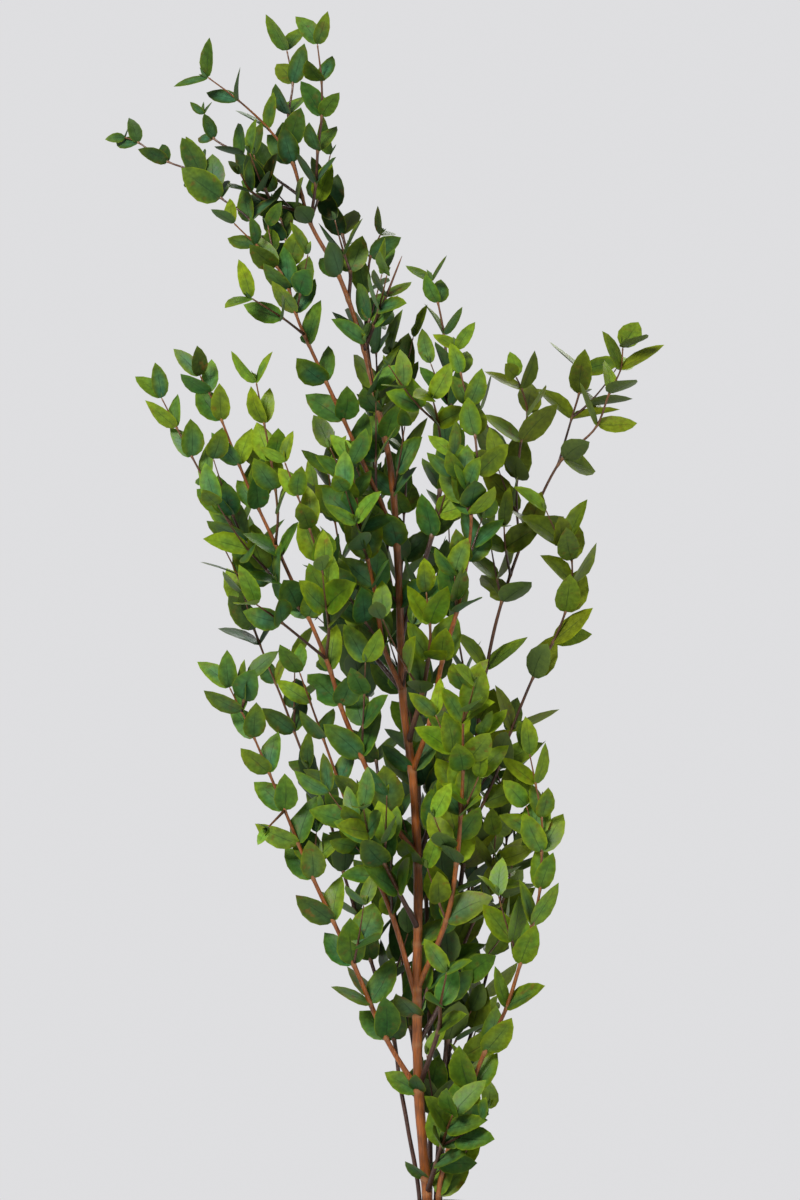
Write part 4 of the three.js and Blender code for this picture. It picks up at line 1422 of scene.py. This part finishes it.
class Nodes:
    """Adds nodes to one tree and links them."""

    def __init__(self, tree: bpy.types.NodeTree) -> None:
        """Starts with an empty tree.

        Args:
            tree: The tree of a material, a world or a group.
        """
        self.tree = tree
        tree.nodes.clear()

    def add(self, kind: str, inputs: dict | None = None, **settings: object) -> bpy.types.Node:
        """Adds a node.

        Args:
            kind: Its type, without the words "ShaderNode" in front.
            inputs: A value or an output for each input, by name or number.
            settings: Its own settings.

        Returns:
            The node.
        """
        node = self.tree.nodes.new(kind if kind.startswith("Node") else f"ShaderNode{kind}")
        for name, value in settings.items():
            setattr(node, name, value)
        for name, value in (inputs or {}).items():
            if isinstance(value, bpy.types.NodeSocket):
                self.tree.links.new(value, node.inputs[name])
            else:
                node.inputs[name].default_value = value
        return node

    def math(self, operation: str, *values: object, clamp: bool = False) -> bpy.types.NodeSocket:
        """Returns the result of a sum on numbers or outputs."""
        inputs = dict(enumerate(values))
        return self.add("Math", inputs, operation=operation, use_clamp=clamp).outputs[0]

    def times(self, one: object, other: object) -> bpy.types.NodeSocket:
        """Returns the product of two numbers or outputs."""
        return self.math("MULTIPLY", one, other)

    def line(self, value: object, slope: object, start: object) -> bpy.types.NodeSocket:
        """Returns "start" plus "slope" times the value."""
        return self.math("MULTIPLY_ADD", value, slope, start)

    def ramp(self, value: object, low: object, high: object) -> bpy.types.NodeSocket:
        """Returns a smooth rise from 0 at low to 1 at high."""
        inputs = {0: value, 1: low, 2: high}
        return self.add("MapRange", inputs, interpolation_type="SMOOTHSTEP").outputs[0]

    def mixed(self, share: object, low: object, high: object) -> bpy.types.NodeSocket:
        """Returns the colour that lies a share of the way from low to high."""
        low, high = ((*c, 1.0) if isinstance(c, tuple) and len(c) == 3 else c for c in (low, high))
        inputs = {0: share, 6: low, 7: high}
        return self.add("Mix", inputs, data_type="RGBA").outputs[2]

    def shaded(self, colour: object, shade: object) -> bpy.types.NodeSocket:
        """Returns the colour times a grey of that shade."""
        grey = self.add("CombineColor", dict.fromkeys(range(3), shade)).outputs[0]
        inputs = {0: 1.0, 6: colour, 7: grey}
        return self.add("Mix", inputs, data_type="RGBA", blend_type="MULTIPLY").outputs[2]

    def attribute(self, name: str) -> bpy.types.Node:
        """Returns the node that reads one of the mesh's own attributes."""
        return self.add("Attribute", attribute_name=name)

    def surface(self, colour: object, rough: object, bump: dict, specular: float) -> None:
        """Ends the tree of a material.

        Args:
            colour: The base colour.
            rough: The roughness.
            bump: The inputs of its bump.
            specular: How strongly it mirrors.
        """
        normal = self.add("Bump", bump).outputs[0]
        inputs = {"Base Color": colour, "Roughness": rough, "Normal": normal}
        shader = self.add("BsdfPrincipled", {**inputs, "Specular IOR Level": specular})
        self.add("OutputMaterial", {0: shader.outputs[0]})


@dataclass(frozen=True)
class Patches:
    """Soft patches: their scale, and the noise where one begins and where it is full."""

    scale: float
    low: float
    high: float


def mottle_group() -> bpy.types.NodeTree:
    """Returns the group for soft patches, which leaves, bark and stoneware share."""
    group = bpy.data.node_groups.new("mottle", "ShaderNodeTree")
    interface = group.interface
    interface.new_socket("Vector", in_out="INPUT", socket_type="NodeSocketVector")
    for name in ("Scale", "Low", "High"):
        interface.new_socket(name, in_out="INPUT", socket_type="NodeSocketFloat")
    interface.new_socket("Mask", in_out="OUTPUT", socket_type="NodeSocketFloat")
    nodes = Nodes(group)
    given = nodes.add("NodeGroupInput").outputs
    read = {"Vector": given["Vector"], "Scale": given["Scale"], "Detail": 3.0}
    noise = nodes.add("TexNoise", read).outputs[0]
    nodes.add("NodeGroupOutput", {"Mask": nodes.ramp(noise, given["Low"], given["High"])})
    return group


def mottle(nodes: Nodes, vector: object, patches: Patches) -> bpy.types.NodeSocket:
    """Places the mottle group in a tree.

    Args:
        nodes: The tree.
        vector: Where the pattern is read.
        patches: How large and how soft the patches are.

    Returns:
        The mask of the patches.
    """
    group = bpy.data.node_groups.get("mottle") or mottle_group()
    inputs = {"Vector": vector, "Scale": patches.scale, "Low": patches.low, "High": patches.high}
    return nodes.add("Group", inputs, node_tree=group).outputs["Mask"]


def new_material(name: str) -> tuple[bpy.types.Material, Nodes]:
    """Returns an empty material and its nodes."""
    material = bpy.data.materials.new(name)
    material.use_nodes = True
    return material, Nodes(material.node_tree)


@dataclass(frozen=True)
class LeafFinish:
    """A preserved leaf: deep green with a yellow rim, soft patches, a dark midrib and veins.

    A pair of numbers is where a ramp starts and where it is full: across the blade, from 0 at
    the midrib to 1 at the rim, or along it, from its root to its tip.
    """

    yellow: Colour = (0.200, 0.265, 0.003)
    bluish: Colour = (0.036, 0.130, 0.062)
    brown: Colour = (0.150, 0.062, 0.010)
    rib: Colour = (0.010, 0.026, 0.008)
    underside: Colour = (0.075, 0.125, 0.055)
    patches: Patches = Patches(85.0, 0.35, 0.7)
    streaks: Patches = Patches(420.0, 0.3, 0.75)
    spots: Patches = Patches(230.0, 0.56, 0.74)
    yellow_power: float = 3.0
    yellow_rim: float = 0.45
    yellow_tip: float = 0.6
    yellow_patch: float = 0.5
    yellow_most: float = 0.75
    core_across: Span = (0.95, 0.2)
    core_along: Span = (1.0, 0.45)
    line_across: Span = (0.88, 0.98)
    line_most: float = 0.38
    brown_aged: float = 0.8
    brown_least: float = 0.26
    streak_shade: float = 0.42
    darkest_shade: float = 0.79
    underside_most: float = 0.5
    rib_across: Span = (0.07, 0.01)
    rib_along: Span = (0.95, 0.45)
    rib_most: float = 0.5
    vein_count: float = 7.0
    vein_slant: float = -2.0
    vein_wave: Span = (0.16, 0.02)
    vein_across: Span = (0.9, 0.6)
    vein_most: float = 0.12
    vein_height: float = -0.35
    streak_height: float = 0.3
    bump: float = 0.35
    bump_distance: float = 0.0002
    roughness: float = 0.46
    streak_rough: float = 0.14
    underside_rough: float = 0.2
    specular: float = 0.16

    def material(self) -> bpy.types.Material:
        """Builds the material, and returns it."""
        material, nodes = new_material("preserved_leaf")
        split = nodes.add("SeparateXYZ", {0: nodes.add("UVMap", uv_map="blade").outputs[0]})
        along = split.outputs[0]
        edge = nodes.math("ABSOLUTE", nodes.line(split.outputs[1], 2.0, -1.0))
        place = nodes.add("TexCoord").outputs["Object"]
        tint = nodes.attribute("leaf_tint").outputs[0]
        traits = nodes.add("SeparateColor", {0: nodes.attribute("leaf_traits").outputs[0]})
        yellow_rim, aged, bluish = traits.outputs
        streaks = mottle(nodes, place, self.streaks)

        to_rim = nodes.times(nodes.math("POWER", edge, self.yellow_power), self.yellow_rim)
        to_tip = nodes.times(nodes.math("POWER", along, self.yellow_power), self.yellow_tip)
        patches = nodes.times(mottle(nodes, place, self.patches), self.yellow_patch)
        spread = nodes.math("ADD", nodes.math("ADD", to_rim, to_tip), patches)
        yellow_share = nodes.math("MULTIPLY", spread, yellow_rim, clamp=True)
        core = nodes.times(nodes.ramp(edge, *self.core_across), nodes.ramp(along, *self.core_along))
        colour = nodes.mixed(nodes.times(core, bluish), tint, self.bluish)
        colour = nodes.mixed(nodes.times(yellow_share, self.yellow_most), colour, self.yellow)
        rim_line = nodes.times(nodes.ramp(edge, *self.line_across), self.line_most)
        colour = nodes.mixed(rim_line, colour, self.yellow)
        spots = mottle(nodes, place, self.spots)
        brown_share = nodes.times(spots, nodes.line(aged, self.brown_aged, self.brown_least))
        colour = nodes.mixed(brown_share, colour, self.brown)
        colour = nodes.shaded(colour, nodes.line(streaks, self.streak_shade, self.darkest_shade))
        upper = nodes.attribute("upper_side").outputs["Fac"]
        below = nodes.times(nodes.math("SUBTRACT", 1.0, upper), self.underside_most)
        colour = nodes.mixed(below, colour, self.underside)

        rib = nodes.times(nodes.ramp(edge, *self.rib_across), nodes.ramp(along, *self.rib_along))
        slant = nodes.line(along, self.vein_count, nodes.times(edge, self.vein_slant))
        wave = nodes.math("ABSOLUTE", nodes.math("SINE", nodes.times(slant, math.pi)))
        vein = nodes.times(nodes.ramp(wave, *self.vein_wave), nodes.ramp(edge, *self.vein_across))
        colour = nodes.mixed(nodes.times(rib, self.rib_most), colour, self.rib)
        colour = nodes.mixed(nodes.times(vein, self.vein_most), colour, self.rib)

        height = nodes.math("SUBTRACT", nodes.times(vein, self.vein_height), rib)
        height = nodes.line(streaks, self.streak_height, height)
        bump = {"Strength": self.bump, "Distance": self.bump_distance, "Height": height}
        rough = nodes.line(streaks, self.streak_rough, self.roughness - self.streak_rough / 2)
        rough = nodes.line(below, self.underside_rough, rough)
        nodes.surface(colour, rough, bump, self.specular)
        return material


@dataclass(frozen=True)
class BarkFinish:
    """Smooth young bark with fine streaks along it and pale scars at its nodes."""

    scar: Colour = (0.320, 0.170, 0.070)
    streak: Colour = (0.040, 0.015, 0.008)
    squash: float = 0.09
    streaks: Patches = Patches(1500.0, 0.42, 0.72)
    patches: Patches = Patches(130.0, 0.3, 0.7)
    streak_most: float = 0.5
    patch_shade: float = 0.5
    darkest_shade: float = 0.75
    scar_most: float = 0.38
    scar_height: float = -0.4
    bump: float = 0.6
    bump_distance: float = 0.0002
    roughness: float = 0.33
    streak_rough: float = 0.2
    specular: float = 0.5

    def material(self) -> bpy.types.Material:
        """Builds the material, and returns it."""
        material, nodes = new_material("young_bark")
        place = nodes.add("TexCoord").outputs["Object"]
        stretch = {"Vector": place, "Scale": (1.0, 1.0, self.squash)}
        streaks = mottle(nodes, nodes.add("Mapping", stretch).outputs[0], self.streaks)
        patches = mottle(nodes, place, self.patches)
        tint = nodes.attribute("bark_tint").outputs[0]
        mark = nodes.attribute("bark_node").outputs["Fac"]
        colour = nodes.mixed(nodes.times(streaks, self.streak_most), tint, self.streak)
        colour = nodes.shaded(colour, nodes.line(patches, self.patch_shade, self.darkest_shade))
        colour = nodes.mixed(nodes.times(mark, self.scar_most), colour, self.scar)
        height = nodes.line(mark, self.scar_height, streaks)
        bump = {"Strength": self.bump, "Distance": self.bump_distance, "Height": height}
        rough = nodes.line(streaks, self.streak_rough, self.roughness)
        nodes.surface(colour, rough, bump, self.specular)
        return material


@dataclass(frozen=True)
class StonewareFinish:
    """Off-white matt glaze with iron specks, and bare clay round the foot."""

    glaze: Colour = (0.660, 0.625, 0.550)
    warm: Colour = (0.520, 0.450, 0.350)
    speck: Colour = (0.110, 0.070, 0.045)
    clay: Colour = (0.370, 0.255, 0.165)
    clouds: Patches = Patches(22.0, 0.35, 0.7)
    grain: Patches = Patches(700.0, 0.3, 0.7)
    fine_specks: Patches = Patches(900.0, 0.705, 0.74)
    coarse_specks: Patches = Patches(330.0, 0.715, 0.745)
    cloud_most: float = 0.45
    speck_most: float = 0.8
    grain_most: float = 0.4
    glaze_line: float = 0.0045
    glaze_wave: float = 0.0012
    throwing_rings: float = 950.0
    ring_height: float = 0.35
    grain_height: float = 0.25
    bump: float = 0.35
    bump_distance: float = 0.0004
    roughness: float = 0.42
    grain_rough: float = 0.12
    clay_rough: float = 0.4
    specular: float = 0.5

    def material(self) -> bpy.types.Material:
        """Builds the material, and returns it."""
        material, nodes = new_material("speckled_stoneware")
        place = nodes.add("TexCoord").outputs["Object"]
        height = nodes.add("SeparateXYZ", {0: place}).outputs[2]
        clouds = mottle(nodes, place, self.clouds)
        grain = mottle(nodes, place, self.grain)
        fine = mottle(nodes, place, self.fine_specks)
        specks = nodes.math("MAXIMUM", fine, mottle(nodes, place, self.coarse_specks))
        bare = nodes.math("LESS_THAN", height, nodes.line(clouds, self.glaze_wave, self.glaze_line))
        colour = nodes.mixed(nodes.times(clouds, self.cloud_most), self.glaze, self.warm)
        colour = nodes.mixed(nodes.times(specks, self.speck_most), colour, self.speck)
        clay = nodes.mixed(nodes.times(grain, self.grain_most), self.clay, self.speck)
        colour = nodes.mixed(bare, colour, clay)
        rings = nodes.math("SINE", nodes.times(height, self.throwing_rings))
        relief = nodes.line(rings, self.ring_height, nodes.times(grain, self.grain_height))
        bump = {"Strength": self.bump, "Distance": self.bump_distance, "Height": relief}
        rough = nodes.line(grain, self.grain_rough, self.roughness)
        rough = nodes.line(bare, self.clay_rough, rough)
        nodes.surface(colour, rough, bump, self.specular)
        return material


@dataclass(frozen=True)
class Lamp:
    """One soft round light: its place and size in metres, its power in watts and its colour."""

    name: str
    place: tuple[float, float, float]
    size: float
    power: float
    colour: Colour


@dataclass
class Studio:
    """The pale floor, the soft lights and the camera at the photograph's viewing angle.

    The key light is at the upper left front, a fill at the right front and one light behind.
    """

    pale: Colour = (0.735, 0.735, 0.750)
    floor_tone: Colour = (0.72, 0.72, 0.725)
    floor_radius: float = 14.0
    fade: Span = (0.5, 1.5)
    sky: Colour = (0.93, 0.96, 1.0)
    sky_strength: float = 0.3
    lamps: tuple[Lamp, ...] = (
        Lamp("key", (-1.5, -2.5, 2.2), 1.1, 125, (1.0, 0.985, 0.96)),
        Lamp("fill", (2.3, -1.6, 1.1), 1.8, 24, (0.96, 0.98, 1.0)),
        Lamp("rear", (0.9, 2.4, 2.2), 1.6, 30, (1.0, 1.0, 1.0)),
    )
    aim_height: float = 0.45
    photo_size: tuple[int, int] = (800, 1200)
    millimetres_a_pixel: float = 0.5
    middle_column: float = 438.0
    camera_rise: float = 0.004
    distance: float = 2.6
    sensor: float = 36.0
    farthest: float = 100.0

    def floor(self) -> None:
        """Lays the floor, which fades into the pale surroundings away from the vase."""
        disc = bmesh.new()
        bmesh.ops.create_circle(disc, cap_ends=True, segments=96, radius=self.floor_radius)
        floor = placed("floor", mesh_of(disc, "floor"))
        material, nodes = new_material("pale_floor")
        place = nodes.add("TexCoord").outputs["Object"]
        reach = nodes.add("VectorMath", {0: place}, operation="LENGTH").outputs["Value"]
        far = nodes.ramp(reach, *self.fade)
        near = nodes.add("BsdfDiffuse", {"Color": (*self.floor_tone, 1.0)})
        away = nodes.add("Emission", {"Color": (*self.pale, 1.0), "Strength": 1.0})
        both = nodes.add("MixShader", {0: far, 1: near.outputs[0], 2: away.outputs[0]})
        nodes.add("OutputMaterial", {0: both.outputs[0]})
        floor.data.materials.append(material)

    def world(self) -> None:
        """Sets the surroundings: soft light, seen as the same pale tone as the far floor."""
        world = bpy.data.worlds.new("studio")
        bpy.context.scene.world = world
        world.use_nodes = True
        nodes = Nodes(world.node_tree)
        seen = nodes.add("LightPath").outputs["Is Camera Ray"]
        light = nodes.add("Background", {"Color": (*self.sky, 1.0), "Strength": self.sky_strength})
        shown = nodes.add("Background", {"Color": (*self.pale, 1.0), "Strength": 1.0})
        both = nodes.add("MixShader", {0: seen, 1: light.outputs[0], 2: shown.outputs[0]})
        nodes.add("OutputWorld", {0: both.outputs[0]})

    def hang(self, lamp: Lamp) -> None:
        """Hangs one soft light that faces the middle of the spray."""
        data = bpy.data.lights.new(lamp.name, "AREA")
        data.shape = "DISK"
        data.size = lamp.size
        data.energy = lamp.power
        data.color = lamp.colour
        holder = placed(lamp.name, data)
        holder.location = lamp.place
        aim = Vector((0, 0, self.aim_height)) - holder.location
        holder.rotation_euler = aim.to_track_quat("-Z", "Y").to_euler()

    def camera(self) -> None:
        """Sets the camera level, facing the spray as the photograph does."""
        width, height = self.photo_size
        data = bpy.data.cameras.new("camera")
        camera = placed("camera", data)
        tall = height * self.millimetres_a_pixel * MM
        x = (width / 2 - self.middle_column) * self.millimetres_a_pixel * MM
        z = VASE_HEIGHT * MM + tall / 2 + self.camera_rise
        camera.location = (x, -self.distance, z)
        camera.rotation_euler = (math.pi / 2, 0, 0)
        data.sensor_width = self.sensor
        data.lens = self.sensor * self.distance / tall
        data.clip_end = self.farthest
        bpy.context.scene.camera = camera

    def build(self) -> None:
        """Sets up the whole studio."""
        self.camera()
        self.floor()
        self.world()
        for lamp in self.lamps:
            self.hang(lamp)
        bpy.context.scene.view_settings.view_transform = "Standard"


def main() -> None:
    """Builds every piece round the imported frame."""
    logging.basicConfig(level=logging.INFO, format="%(message)s")
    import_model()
    Studio().build()
    spray = Spray()
    spray.grow()
    Vase().build(StonewareFinish().material())
    leaf = LeafFinish().material()
    bark = BarkFinish().material()
    for index, spec in enumerate(CUT_STEMS):
        stems = [stem for stem in spray.stems.values() if stem.branch == spec.name]
        leaves = [x for x in (*spray.canopy.leaves, *spray.buds) if x.stem.branch == spec.name]
        Bark(spec.name, stems).build(bark)
        Foliage(spec.name, leaves).build(leaf, LOOKS_SEED + index)


if __name__ == "__main__":
    main()
